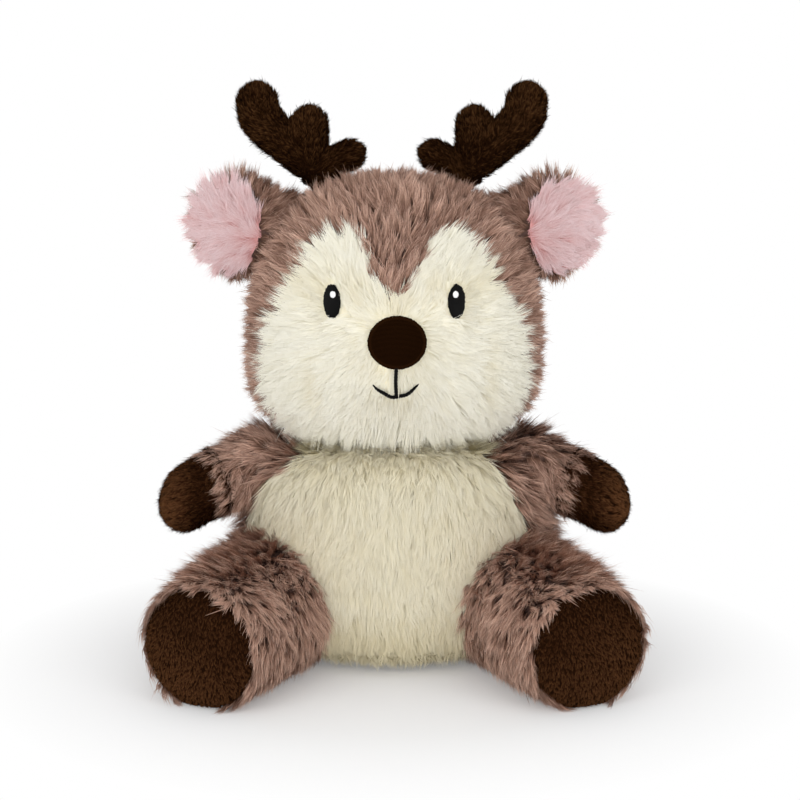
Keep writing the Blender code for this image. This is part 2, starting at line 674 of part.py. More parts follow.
for name, side in (("left", 1), ("right", -1)):
    pivot = Vector((ANTLER_SPREAD * side, HEAD_Y + ANTLER_BEHIND_HEAD_CENTRE, antler_root_z))
    beam = branch(pivot, side, BEAM_PATH_SHARES, tuple(ANTLER_BEAM_RADIUS * s for s in BEAM_RADIUS_SHARES))
    tine = branch(pivot, side, TINE_PATH_SHARES, (ANTLER_TINE_RADIUS,) * len(TINE_PATH_SHARES))
    spur = branch(pivot, side, SPUR_PATH_SHARES, (ANTLER_SPUR_RADIUS,) * len(SPUR_PATH_SHARES))
    joint = joint_empty("antler_joint_" + name, pivot, head_joint)
    opening = bar_cutter("antler_opening_" + name, pivot, Vector((0, 0, -1)), ANTLER_OPENING_RADIUS,
                          CUT_OVERRUN)
    cover = as_piece(beam.solid("antler_cover_" + name), "brown_nap", joint)
    inset = -ANTLER_WALL - SEAM_GAP
    inside = beam.solid("antler_stuffing_" + name, inset, sides=ANTLER_INNER_SIDES)
    as_piece(inside, "fibre_filling", joint)
    hollows = [as_cutter(beam.solid("beam_hollow_" + name, -ANTLER_WALL, sides=ANTLER_INNER_SIDES))]
    for kind, part in (("tine_", tine), ("spur_", spur)):
        combine(cover, "UNION", as_cutter(part.solid(kind + "form_" + name)))
        filling_form = part.solid(kind + "filling_" + name, inset, sides=ANTLER_INNER_SIDES)
        combine(inside, "UNION", as_cutter(filling_form))
        hollow_form = part.solid(kind + "hollow_" + name, -ANTLER_WALL, sides=ANTLER_INNER_SIDES)
        hollows.append(as_cutter(hollow_form))
    combine(cover, "DIFFERENCE", *hollows, opening)
    gap = running_gap(ANTLER_ROOT_RADIUS, ANTLER_SIDES)
    head_sockets.append(as_cutter(beam.solid("antler_socket_" + name, gap, ANTLER_FLOP, ANTLER_FLOP,
                                             ANTLER_SOCKET_REACH)))

# Head: mauve cover, cream face panel and stuffing

head_apex = Vector((0, HEAD_Y + FACE_SEAM_APEX_BACK, HEAD_WIDEST_Z))
head_hollow = as_cutter(HEAD.grown(-COVER_WALL).solid("head_hollow", HEAD_INNER_SIDES, HEAD_INNER_LEVELS))
face_cutter = panel_cutter("face_cutter", HEAD, FACE_OUTLINE_SHARES, head_apex, 0)
face_gap = panel_cutter("face_gap_cutter", HEAD, FACE_OUTLINE_SHARES, head_apex, SEAM_GAP)
head_cover = as_piece(HEAD.solid("head_cover", HEAD_SIDES, HEAD_LEVELS), "mauve_fur", head_joint)
combine(head_cover, "DIFFERENCE", head_hollow, face_gap, *head_sockets)
face_panel = as_piece(HEAD.solid("face_panel", HEAD_SIDES, HEAD_LEVELS), "cream_fur", head_joint)
combine(face_panel, "INTERSECT", face_cutter)
combine(face_panel, "DIFFERENCE", head_hollow, *head_sockets)
head_filling = HEAD.grown(-COVER_WALL - SEAM_GAP)
head_stuffing = as_piece(head_filling.solid("head_stuffing", HEAD_INNER_SIDES, HEAD_INNER_LEVELS),
                         "fibre_filling", head_joint)
combine(head_stuffing, "DIFFERENCE", *head_sockets)

# Eyes, nose and mouth, stitched on the face


def stitched_patch(name, colour, x, z, half_width, half_height, thickness, lift, sides=PATCH_SIDES):
    """Domed oval that follows the face, thinner at its edge than in its middle."""
    rings_out, rings_in = [], []
    for share in PATCH_RING_SHARES:
        top, under = [], []
        for angle in np.linspace(0, 2 * math.pi, sides, endpoint=False):
            px = x + half_width * share * math.cos(angle)
            pz = z + half_height * share * math.sin(angle)
            dome = thickness * (1 - (1 - PATCH_EDGE_SHARE) * share**3)
            top.append(HEAD.front_point(px, pz, lift + dome))
            under.append(HEAD.front_point(px, pz, lift))
        rings_out.append(top)
        rings_in.append(under)
    crest = HEAD.front_point(x, z, lift + thickness)
    seat = HEAD.front_point(x, z, lift)
    return as_piece(skin(name, rings_out + rings_in[::-1], crest, seat), colour, head_joint)


eye_z = HEAD_WIDEST_Z + EYE_ABOVE_WIDEST
for name, side in (("left", 1), ("right", -1)):
    eye_x = EYE_SPACING / 2 * side
    stitched_patch("eye_" + name, "black_thread", eye_x, eye_z, EYE_HALF_WIDTH, EYE_HALF_HEIGHT,
                   EYE_THICKNESS, SEAM_GAP)
    stitched_patch("eye_highlight_" + name, "white_thread", eye_x - HIGHLIGHT_INWARD * side,
                   eye_z + HIGHLIGHT_UP, HIGHLIGHT_RADIUS, HIGHLIGHT_RADIUS, HIGHLIGHT_THICKNESS,
                   SEAM_GAP + EYE_THICKNESS + SEAM_GAP, HIGHLIGHT_SIDES)
stitched_patch("nose_patch", "brown_nap", 0, HEAD_WIDEST_Z + NOSE_ABOVE_WIDEST, NOSE_HALF_WIDTH,
               NOSE_HALF_HEIGHT, NOSE_THICKNESS, SEAM_GAP)


def thread(name, places):
    """Thread laid on the face through places across and up."""
    lift = SEAM_GAP + THREAD_RADIUS
    centres = tuple(tuple(HEAD.front_point(x, z, lift)) for x, z in places)
    count = len(centres)
    return Limb(centres, (THREAD_RADIUS,) * count, (1.0,) * count, Vector((0, -1, 0)),
                STITCH_SIDES, STITCH_CAPS).solid(name)


join_z = HEAD_WIDEST_Z - MOUTH_JOIN_BELOW_WIDEST
stroke = as_piece(thread("mouth_stitching", [(0, HEAD_WIDEST_Z - MOUTH_TOP_BELOW_WIDEST), (0, join_z)]),
                  "black_thread", head_joint)
smile = [(SMILE_HALF_WIDTH * across, join_z + SMILE_LIFT * across**2)
         for across in np.linspace(-1, 1, SMILE_POINTS)]
combine(stroke, "UNION", as_cutter(thread("smile_form", smile)))
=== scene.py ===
"""Sitting plush deer, dressed for the camera: long brushed fur, short nap, satin stitches and stuffing.

Every fur piece is a mesh of tapered strands gathered in locks. Lengths are in metres, the deer faces -Y
and sits on Z = 0, and its own left is +X.
"""
import math

import bpy
import numpy as np
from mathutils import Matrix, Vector


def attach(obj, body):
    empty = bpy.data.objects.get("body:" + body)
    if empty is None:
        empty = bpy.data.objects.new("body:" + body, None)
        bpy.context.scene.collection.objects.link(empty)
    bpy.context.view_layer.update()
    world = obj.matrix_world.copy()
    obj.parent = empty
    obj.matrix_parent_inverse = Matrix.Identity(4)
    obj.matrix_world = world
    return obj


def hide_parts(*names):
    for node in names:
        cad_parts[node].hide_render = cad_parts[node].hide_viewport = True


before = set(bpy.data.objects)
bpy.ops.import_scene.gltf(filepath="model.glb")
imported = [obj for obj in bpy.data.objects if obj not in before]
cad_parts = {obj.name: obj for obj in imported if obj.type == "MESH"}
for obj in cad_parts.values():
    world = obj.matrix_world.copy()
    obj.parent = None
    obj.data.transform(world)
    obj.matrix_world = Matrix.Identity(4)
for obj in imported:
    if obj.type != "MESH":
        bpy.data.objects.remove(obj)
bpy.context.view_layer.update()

# Camera: a long lens a little above the deer's middle, looking straight at its face.
# It stands 1.1 m away and is tilted down to where the chin meets the chest.

LENS, SENSOR = 112.5, 36.0
CAMERA_TILT, CAMERA_DISTANCE = math.radians(11), 1.100
CAMERA_AIM = Vector((0.0024, 0.0175, 0.1139))


def put_in_scene(name, data):
    """New object that holds the data."""
    made = bpy.data.objects.new(name, data)
    bpy.context.scene.collection.objects.link(made)
    return made


camera_data = bpy.data.cameras.new("camera")
camera_data.lens = LENS
camera_data.sensor_width = SENSOR
camera = put_in_scene("camera", camera_data)
camera.location = CAMERA_AIM + Vector((0, -math.cos(CAMERA_TILT), math.sin(CAMERA_TILT))) * CAMERA_DISTANCE
camera.rotation_euler = (math.pi / 2 - CAMERA_TILT, 0, 0)
bpy.context.scene.camera = camera
bpy.context.scene.view_settings.view_transform = "Standard"

# Studio: a white paper floor in a white surround, lit by four large soft lamps.
# Near the deer the paper takes its soft shadow, and further out it fades into the surround.

WHITE = (1, 1, 1, 1)
FLOOR_EDGE = 3.0
PAPER_GLOW = 0.14
SHADOW_RADIUS, SHADOW_FADE = 0.100, 0.085
LAMP_AIM = Vector((0, 0.0175, 0.10))
LAMPS = (
    ("lamp_above", (0.05, -0.20, 1.15), 0.90, 1.3),
    ("lamp_left", (-0.75, -1.05, 0.55), 0.80, 5.2),
    ("lamp_right", (0.80, -1.00, 0.50), 0.80, 3.9),
    ("lamp_front", (-0.05, -1.35, 0.09), 0.90, 11.7),
)
BAND_PITCH = 0.314


class Signal:
    """Value in a material's nodes. A sum, difference, product or quotient of signals adds Math nodes."""

    def __init__(self, nodes, socket):
        self.nodes = nodes
        self.socket = socket

    def math(self, operation, *values):
        return self.nodes.add("ShaderNodeMath", {"operation": operation}, values)

    def __add__(self, other):
        return self.math("ADD", self, other)

    __radd__ = __add__

    def __mul__(self, other):
        return self.math("MULTIPLY", self, other)

    __rmul__ = __mul__

    def __sub__(self, other):
        return self.math("SUBTRACT", self, other)

    def __rsub__(self, other):
        return self.math("SUBTRACT", other, self)

    def __truediv__(self, other):
        return self.math("DIVIDE", self, other)

    def sine(self):
        return self.math("SINE", self)

    def clipped(self):
        return self.nodes.add("ShaderNodeClamp", {}, (self, 0.0, 1.0))


class Nodes:
    """Node tree, and the one way to add a node to it."""

    def __init__(self, tree):
        self.tree = tree

    def set(self, socket, value):
        if isinstance(value, Signal):
            self.tree.links.new(value.socket, socket)
        else:
            socket.default_value = value

    def add(self, kind, settings, inputs, output=0):
        """New node of a kind: its settings first, then its sockets by place or by name."""
        node = self.tree.nodes.new(kind)
        for key, value in settings.items():
            if key == "stops":
                while len(node.color_ramp.elements) < len(value):
                    node.color_ramp.elements.new(0.5)
                for element, (place, colour) in zip(node.color_ramp.elements, value):
                    element.position = place
                    element.color = (*colour, 1.0)
            else:
                setattr(node, key, value)
        pairs = inputs.items() if isinstance(inputs, dict) else enumerate(inputs)
        for key, value in pairs:
            self.set(node.inputs[key], value)
        return Signal(self, node.outputs[output])

    def seen(self):
        """1 for the camera, and for what is mirrored or seen through glass."""
        rays = [self.add("ShaderNodeLightPath", {}, (), kind + " Ray")
                for kind in ("Is Camera", "Is Glossy", "Is Transmission")]
        return (rays[0] + rays[1] + rays[2]).clipped()

    def show(self, shader, output):
        self.tree.links.new(shader.socket, self.tree.nodes[output].inputs["Surface"])


class Finish(Nodes):
    """Material of one finish, which keeps the name of its colour slot. Its unchanging values go straight into
    the shader's own sockets."""

    def __init__(self, name, slot, roughness=0.9, shine=0.5):
        self.material = bpy.data.materials.new(name)
        self.material.use_nodes = True
        self.slot = slot
        super().__init__(self.material.node_tree)
        self.shader = self.tree.nodes["Principled BSDF"]
        self.shader.inputs["Roughness"].default_value = roughness
        self.shader.inputs["Specular IOR Level"].default_value = shine

    def ramp(self, factor, places, colours):
        return self.add("ShaderNodeValToRGB", {"stops": list(zip(places, colours))}, (factor,))

    def mix(self, factor, first, second):
        """Colour between two, by a factor."""
        colours = [c if isinstance(c, Signal) else (*c, 1.0) for c in (first, second)]
        return self.add("ShaderNodeMix", {"data_type": "RGBA"}, {0: factor, 6: colours[0], 7: colours[1]}, 2)

    def place(self):
        return self.add("ShaderNodeTexCoord", {}, (), "Object")

    def noise(self, scale, detail=2.0, **inputs):
        return self.add("ShaderNodeTexNoise", {},
                        {"Vector": self.place(), "Scale": scale, "Detail": detail, **inputs})

    def bands(self, pitch, direction, place=None, **inputs):
        """Threads side by side at a pitch: 0 between them and 1 along their backs. At a scale of 1 the
        texture repeats every 0.314 m."""
        return self.add("ShaderNodeTexWave", {"wave_type": "BANDS", "bands_direction": direction},
                        {"Vector": place or self.place(), "Scale": BAND_PITCH / pitch, **inputs}, 1)

    def strand_map(self):
        """The two values of the OFBake map."""
        both = self.add("ShaderNodeUVMap", {"uv_map": "OFBake"}, ())
        return [self.add("ShaderNodeSeparateXYZ", {}, (both,), axis) for axis in "XY"]

    def colour(self, value):
        self.set(self.shader.inputs["Base Color"], value)

    def bump(self, height, depth, strength=1.0):
        """Relief of a height from 0 to 1 and a depth in metres."""
        raised = self.add("ShaderNodeBump", {}, {"Height": height, "Distance": depth, "Strength": strength})
        self.set(self.shader.inputs["Normal"], raised)


floor_mesh = bpy.data.meshes.new("floor")
floor_mesh.from_pydata([(FLOOR_EDGE * x, FLOOR_EDGE * y, 0) for x, y in ((-1, -1), (1, -1), (1, 1), (-1, 1))],
                       [], [(0, 1, 2, 3)])
floor = put_in_scene("floor", floor_mesh)
paper = Finish("floor_paper", None, 1.0)
paper.colour((0.80, 0.80, 0.80, 1.0))
distance = paper.add("ShaderNodeVectorMath", {"operation": "LENGTH"}, (paper.place(),), "Value")
far = ((distance - SHADOW_RADIUS) / SHADOW_FADE).clipped()
plain = Signal(paper, paper.shader.outputs[0])
glow = paper.add("ShaderNodeEmission", {}, {"Color": WHITE, "Strength": 1.0})
near_glow = paper.add("ShaderNodeEmission", {}, {"Color": WHITE, "Strength": PAPER_GLOW})
lifted = paper.add("ShaderNodeAddShader", {}, (plain, near_glow))
faded = paper.add("ShaderNodeMixShader", {}, (far, lifted, glow))
paper.show(paper.add("ShaderNodeMixShader", {}, (paper.seen(), plain, faded)), "Material Output")
floor_mesh.materials.append(paper.material)

world = bpy.data.worlds.new("surround")
bpy.context.scene.world = world
world.use_nodes = True
sky = Nodes(world.node_tree)
lit = sky.add("ShaderNodeBackground", {}, {"Color": WHITE, "Strength": 0.60})
white = sky.add("ShaderNodeBackground", {}, {"Color": WHITE, "Strength": 1.0})
sky.show(sky.add("ShaderNodeMixShader", {}, (sky.seen(), lit, white)), "World Output")

for name, place, size, power in LAMPS:
    lamp_data = bpy.data.lights.new(name, "AREA")
    lamp_data.size = size
    lamp_data.energy = power
    lamp = put_in_scene(name, lamp_data)
    lamp.location = place
    lamp.rotation_euler = (LAMP_AIM - lamp.location).to_track_quat("-Z", "Y").to_euler()

# Body: a pear of mauve fur fabric with a cream panel sewn into its front, combed downwards.
# The skin is the knitted backing of the fabric, and the fur stands on it. The chest stands
# fuller at the front, where chin and belly meet.

MIDDLE_Y = 0.0165
FABRIC_DEPTH = 0.0046
MUZZLE_WIDE, MUZZLE_HIGH, MUZZLE_LOWERED = 0.026, 0.022, 0.004
BODY = {"half_width": 0.067, "depth": 0.048, "rise": 0.049, "drop": 0.0455, "y": MIDDLE_Y, "widest": 0.045,
        "powers": (3.2, 3.0), "muzzle": 0.0}
SEAT_POWER, CHEST_POWER, CHEST_RISE, CHEST_SHIFT = 3.8, 4.8, 0.0495, (0.0, -0.0010, 0.0052)
BELLY_OUTLINE_SHARES = (
    (0.0, 0.98), (0.45, 0.94), (0.66, 0.84), (0.80, 0.62), (0.88, 0.30), (0.89, 0.0),
    (0.83, -0.35), (0.68, -0.65), (0.50, -0.86), (0.34, -0.955), (0.0, -0.97),
)
UNDER_NECK_RADIUS = 0.024
LEFT, RIGHT = np.array([1.0, 1.0, 1.0]), np.array([-1.0, 1.0, 1.0])
SIDES = (("left", LEFT), ("right", RIGHT))
LONG_STOPS = (0.0, 0.35, 0.75, 1.0)


def unit(vectors):
    """Each vector at a length of 1."""
    return vectors / np.maximum(np.linalg.norm(vectors, axis=-1, keepdims=True), 1e-9)


def rising(value, start, width):
    """0 up to a start, then evenly up to 1 over a width."""
    return np.clip((value - start) / width, 0, 1)


def falling(value, end, width):
    """1 until a width before an end, then evenly down to 0."""
    return np.clip((end - value) / width, 0, 1)


def eased(change, share):
    """Part of a change that sets in and ends softly: change share^2 (3 - 2 share)."""
    return change * share**2 * (3 - 2 * share)


def superpower(turn, power):
    """Superellipse profile: ring = sin(turn)^(2/power) and height = cos(turn)^(2/power), with its sign."""
    ring = np.abs(np.sin(turn)) ** (2 / power)
    height = np.sign(np.cos(turn)) * np.abs(np.cos(turn)) ** (2 / power)
    return ring, height


def muzzle_bulge(x, z, form):
    """Soft bulge: muzzle times exp(-(x / wide)^2 - (height over its middle / high)^2)."""
    height = z - form["widest"] + MUZZLE_LOWERED
    return form["muzzle"] * np.exp(-(x / MUZZLE_WIDE) ** 2 - (height / MUZZLE_HIGH) ** 2)


def swollen_points(turn, around, form):
    """Level rings under a superellipse profile: x = width ring cos(around), y = depth ring sin(around)
    less the muzzle's bulge on the front, z = the widest level plus rise or drop times the height."""
    above = turn < math.pi / 2
    top_ring, top_height = superpower(turn, form["powers"][0])
    low_ring, low_height = superpower(turn, form["powers"][1])
    ring = np.where(above, top_ring, low_ring)
    height = np.where(above, top_height, low_height)
    z = form["widest"] + height * np.where(above, form["rise"], form["drop"])
    x = form["half_width"] * ring * np.cos(around)
    bulge = muzzle_bulge(x, z, form)
    y = form["y"] + form["depth"] * ring * np.sin(around) - bulge * np.maximum(-np.sin(around), 0)
    return np.stack([x, y, z], -1)


def grid_faces(rows, columns):
    """Triangles of a grid of points that is joined round its columns."""
    row, column = np.meshgrid(np.arange(rows - 1), np.arange(columns), indexing="ij")
    after = (column + 1) % columns
    a, b = row * columns + column, row * columns + after
    c, d = (row + 1) * columns + after, (row + 1) * columns + column
    return np.concatenate([np.stack([a, b, c], -1).reshape(-1, 3), np.stack([a, c, d], -1).reshape(-1, 3)])


def area_normals(corners):
    """Normal of each triangle, twice as long as its area."""
    return np.cross(corners[:, 1] - corners[:, 0], corners[:, 2] - corners[:, 0])


def outward(points, faces, centre):
    """The triangles, each turned so that it faces away from a centre."""
    corners = points[faces]
    flip = np.sum(area_normals(corners) * (corners.mean(1) - centre), 1) < 0
    faces[flip] = faces[flip][:, ::-1]
    return faces


def point_normals(points, faces):
    """Normal of each point: the sum of its triangles' normals, each as long as its area."""
    normal = area_normals(points[faces])
    sums = np.zeros_like(points)
    for k in range(3):
        np.add.at(sums, faces[:, k], normal)
    return sums / np.maximum(np.linalg.norm(sums, axis=1, keepdims=True), 1e-12)


def shrunk(form, by):
    """The same form, smaller all round."""
    return {**form, **{key: form[key] - by for key in ("half_width", "depth", "rise", "drop")}}


def ring_grid(span, rows, columns):
    """Two grids: a range of values, one to a row, and the turns all the way round."""
    return np.meshgrid(np.linspace(*span, rows), np.linspace(0, 2 * math.pi, columns, endpoint=False),
                       indexing="ij")


def swollen_skin(form, rows, columns):
    """Points and triangles of a swollen form."""
    turn, around = ring_grid((1e-3, math.pi - 1e-3), rows, columns)
    points = swollen_points(turn, around, form).reshape(-1, 3)
    return points, outward(points, grid_faces(rows, columns), np.array([0, form["y"], form["widest"]]))


def made_mesh(name, points, faces, finish, body, replaces=None, tone=None, lean=None):
    """Object of triangles that rides on a body. A tone and a share per point go into the OFBake map, and a
    lean per point is its shading normal."""
    mesh = bpy.data.meshes.new(name)
    mesh.vertices.add(len(points))
    mesh.vertices.foreach_set("co", np.asarray(points, np.float32).ravel())
    mesh.loops.add(len(faces) * 3)
    mesh.loops.foreach_set("vertex_index", np.asarray(faces, np.int32).ravel())
    mesh.polygons.add(len(faces))
    mesh.polygons.foreach_set("loop_start", np.arange(0, len(faces) * 3, 3, dtype=np.int32))
    mesh.update(calc_edges=True)
    mesh.polygons.foreach_set("use_smooth", np.full(len(faces), True))
    if tone is not None:
        layer = mesh.uv_layers.new(name="OFBake")
        layer.data.foreach_set("uv", np.asarray(tone, np.float32)[np.asarray(faces).ravel()].ravel())
    if lean is not None:
        normals = mesh.attributes.new("custom_normal", "FLOAT_VECTOR", "POINT")
        normals.data.foreach_set("vector", np.asarray(lean, np.float32).ravel())
    mesh.materials.append(finish.material)
    made = put_in_scene(name, mesh)
    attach(made, body)
    if replaces:
        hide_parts(replaces)


def scatter(points, faces, per_cm2, seed):
    """Places spread evenly over triangles, so many to a square centimetre, with the smooth normal of each."""
    rng = np.random.default_rng(seed)
    corners = points[faces]
    areas = np.linalg.norm(area_normals(corners), axis=1) / 2
    count = int(areas.sum() * 1e4 * per_cm2)
    pick = np.searchsorted(np.cumsum(areas) / areas.sum(), (np.arange(count) + rng.random(count)) / count)
    pick = np.minimum(pick, len(faces) - 1)
    a, b = rng.random((2, count, 1))
    over = a + b > 1
    a, b = np.where(over, 1 - a, a), np.where(over, 1 - b, b)
    shares = np.concatenate([1 - a - b, a, b], 1)[:, :, None]
    normals = point_normals(points, faces)
    place = (corners[pick] * shares).sum(1)
    normal = (normals[faces[pick]] * shares).sum(1)
    return place, normal / np.linalg.norm(normal, axis=1, keepdims=True)


def ripple(place, wave, seed):
    """Smooth field from -1 to 1: a mean of sines along six directions, waves about as long as given."""
    rng = np.random.default_rng(seed)
    total = 0
    for _ in range(6):
        direction = unit(rng.normal(size=3)) * (2 * math.pi / wave) * rng.uniform(0.7, 1.4)
        total = total + np.sin(place @ direction + rng.uniform(0, 2 * math.pi))
    return total / 3


def comb(normal, flow):
    """Flow laid in the tangent plane of each normal."""
    return unit(flow - normal * np.sum(flow * normal, 1, keepdims=True))


class Pile:
    """Kind of pile: how long and upright its strands are, and how they gather in locks. The lift is in
    degrees, and the droop and the gather are shares of a strand's length and of its way to the middle."""

    def __init__(self, **shape):
        for key, value in shape.items():
            setattr(self, key, value)


def locks(place, normal, flow, pile, seed, length_share=1.0, lift_share=1.0, tone_shift=0.0, pull=0.0,
          keep=None):
    """Tapered strands in locks. A lock's line leaves its root at the lift, along the flow, and droops with
    the square of its share: C(t) = root + length (normal (t sin lift - droop t^2) + flow t cos lift
    + side bend t^2 + pull t^2). A strand starts beside the line and closes in on it by gather t.
    Returns points, triangles, shading normals, and the tone and share of every point."""
    rng = np.random.default_rng(seed)
    count = len(place)
    flow = comb(normal, flow)
    side = np.cross(normal, flow)
    turn = pile.swirl * (ripple(place, 0.032, 7) * 0.7 + rng.normal(size=count) * 0.4)
    flow, side = (flow * np.cos(turn)[:, None] + side * np.sin(turn)[:, None],
                  side * np.cos(turn)[:, None] - flow * np.sin(turn)[:, None])
    length = pile.length * np.broadcast_to(length_share, count) * rng.uniform(0.85, 1.12, count)
    lift = math.radians(pile.lift) * np.broadcast_to(lift_share, count) * (1 + 0.14 * rng.normal(size=count))
    bend = rng.normal(size=count) * 0.14
    pull = np.broadcast_to(pull, (count, 3))
    lock_tone = rng.normal(size=count) * 0.6 + ripple(place, 0.020, 8) * 0.4

    each = np.repeat(np.arange(count), pile.per_lock)
    strands = len(each)
    radius = pile.lock_radius * np.sqrt(rng.random(strands))
    angle = rng.uniform(0, 2 * math.pi, strands)
    offset = side[each] * (radius * np.cos(angle))[:, None] + flow[each] * (radius * np.sin(angle))[:, None]
    stray = rng.random(strands) < 0.06
    own = length[each] * rng.uniform(0.60, 1.10, strands) * np.where(stray, 1.10, 1)
    gather = pile.gather * rng.uniform(0.4, 1.3, strands)
    away = rng.normal(size=(strands, 3)) * (pile.wander * np.where(stray, 2.6, 1))[:, None]
    shares = np.array([0.0, 0.5, 1.0])
    line = []
    for t in shares:
        rise = own * (t * np.sin(lift[each]) - pile.droop * t * t)
        along = own * t * np.cos(lift[each])
        across = own * bend[each] * t * t
        line.append(place[each] + offset * (1 - gather * t)[:, None] + normal[each] * rise[:, None]
                    + flow[each] * along[:, None] + side[each] * across[:, None]
                    + pull[each] * (own * t * t)[:, None] + away * t)
    line = np.stack(line, 1)
    line[:, :, 2] = np.maximum(line[:, :, 2], 0.0004)
    if keep is not None:
        kept = keep(line)
        line, each = line[kept], each[kept]
        strands = len(each)
    tangent = unit(np.gradient(line, axis=1))
    wide = unit(np.cross(tangent, normal[each][:, None, :]))
    roll = rng.normal(size=strands)[:, None, None] * 0.5
    wide = unit(wide * np.cos(roll) + np.cross(tangent, wide) * np.sin(roll))
    half = pile.width / 2 * np.array([1.0, 0.8])
    left = line[:, :2] - wide[:, :2] * half[:, None]
    right = line[:, :2] + wide[:, :2] * half[:, None]
    points = np.concatenate([np.stack([left, right], 2).reshape(strands, 4, 3), line[:, 2:]], 1)
    pattern = np.array([(0, 1, 3), (0, 3, 2), (2, 3, 4)])
    faces = (np.arange(strands)[:, None, None] * 5 + pattern[None]).reshape(-1, 3)
    front = np.cross(wide, tangent)
    lean = unit(normal[each][:, None, :] * pile.softness + front * (1 - pile.softness))
    tone = np.clip(0.5 + pile.tones * (1.1 * lock_tone[each] + 0.9 * rng.normal(size=strands))
                   + np.broadcast_to(tone_shift, count)[each], 0.01, 0.99)
    order = np.array([0, 0, 1, 1, 2])
    tones = np.stack([np.repeat(tone[:, None], 5, 1),
                      np.broadcast_to(shares[order] * 0.98 + 0.01, (strands, 5))], -1)
    return points.reshape(-1, 3), faces, lean[:, order].reshape(-1, 3), tones.reshape(-1, 2)


def grown(name, body, finish, place, normal, flow, pile, seed, **changes):
    """Fur of one finish, grown on places of a skin."""
    points, faces, lean, tones = locks(place, normal, flow, pile, seed, **changes)
    made_mesh(name, points, faces, finish, body, tone=tones, lean=lean)


def fur_finish(name, places, dark, light, roughness=0.6, shine=0.2, slot=None):
    """Fibre coloured from root to tip, between a darker and a lighter run of colours by the strand's tone.
    The darker roots are partly the fibre's own colour and partly painted shade deep in the pile.
    """
    made = Finish(name, slot or name, roughness, shine)
    tone, along = made.strand_map()
    made.colour(made.mix(tone, made.ramp(along, places, dark), made.ramp(along, places, light)))
    return made


def backing_finish(name, slot, dark, light):
    """Knitted backing: fine loops in relief, its colour a little uneven."""
    made = Finish(name, slot, 0.95, 0.0)
    made.colour(made.mix(made.noise(90.0), dark, light))
    made.bump(made.noise(1400.0, 1.0), 0.0003, 0.6)
    return made


def inside_outline(x, z, outline):
    """True for places inside a closed outline, by how often a level ray crosses it."""
    inside = np.zeros(len(x), bool)
    for (x0, z0), (x1, z1) in zip(outline, np.roll(outline, -1, axis=0)):
        crosses = (z0 > z) != (z1 > z)
        inside ^= crosses & (x < (x1 - x0) * (z - z0) / (z1 - z0 + 1e-12) + x0)
    return inside


def panel_outline(shares, form):
    """Closed outline from its half table of shares, smoothed by Catmull-Rom."""
    half = [(a * form["half_width"], form["widest"] + u * (form["rise"] if u > 0 else form["drop"]))
            for a, u in shares]
    whole = np.array(half + [(-x, z) for x, z in half[-2:0:-1]])
    t = np.linspace(0, 1, 6, endpoint=False)[:, None, None]
    a, b, c, d = (np.roll(whole, k, axis=0)[None] for k in (1, 0, -1, -2))
    curve = 0.5 * (2 * b + (c - a) * t + (2 * a - 5 * b + 4 * c - d) * t**2 + (3 * b - a - 3 * c + d) * t**3)
    return curve.transpose(1, 0, 2).reshape(-1, 2)


def within_limb(place, start, end, radius):
    """True for places inside a round limb between two points."""
    axis = end - start
    share = np.clip(((place - start) @ axis) / (axis @ axis), 0, 1)
    return np.linalg.norm(place - start - share[:, None] * axis, axis=1) < radius


def body_flow(place):
    """Downwards, fanned out from the middle of the chest, and forwards or back over its top."""
    return np.stack([place[:, 0] * 8, (place[:, 1] - MIDDLE_Y) * 20, np.full(len(place), -1.0)], 1)


def in_belly(place):
    """True for places on the cream panel. Below it runs in under the legs, and above up to the throat."""
    x, y, z = place.T
    low = falling(z, 0.030, 0.030)
    panel_x = (x + 0.0035) * (0.985 - 0.33 * low)
    panel_z = BODY["widest"] + (z - BODY["widest"]) * (0.98 - 0.14 * low)
    throat = (z > 0.076) & (np.abs(x) < 0.050 - np.maximum(z - 0.080, 0) * 0.80)
    return (inside_outline(panel_x, panel_z, belly_outline) | throat) & (y < BODY["y"] - 0.004)


def clear_of_limbs(place):
    """True for places that no limb covers."""
    covered = np.zeros(len(place), bool)
    for _, mirror in SIDES:
        covered |= within_limb(place, LEG_ROOT * mirror, (LEG_ROOT + LEG_TOWARDS * 0.07) * mirror, 0.027)
        covered |= within_limb(place, ARM_ROOT * mirror, (ARM_ROOT + ARM_TOWARDS * 0.03) * mirror, 0.015)
    return ~covered


def under_neck(place):
    """True for places within the round of the neck."""
    return np.hypot(place[:, 0], place[:, 1] - MIDDLE_Y) < UNDER_NECK_RADIUS


def fur_parts(front_part, back_part, front, x, seed):
    """Cream fur in front and mauve fur behind, each split in two: name, places, finish, pile, seed."""
    for part, chosen, finish, pile in ((front_part, front, cream, cream_pile),
                                       (back_part, ~front, mauve, long_pile)):
        for side, half in (("left", x > 0), ("right", x <= 0)):
            yield f"{part}_fur_{side}", chosen & half, finish, pile, seed
            seed += 1


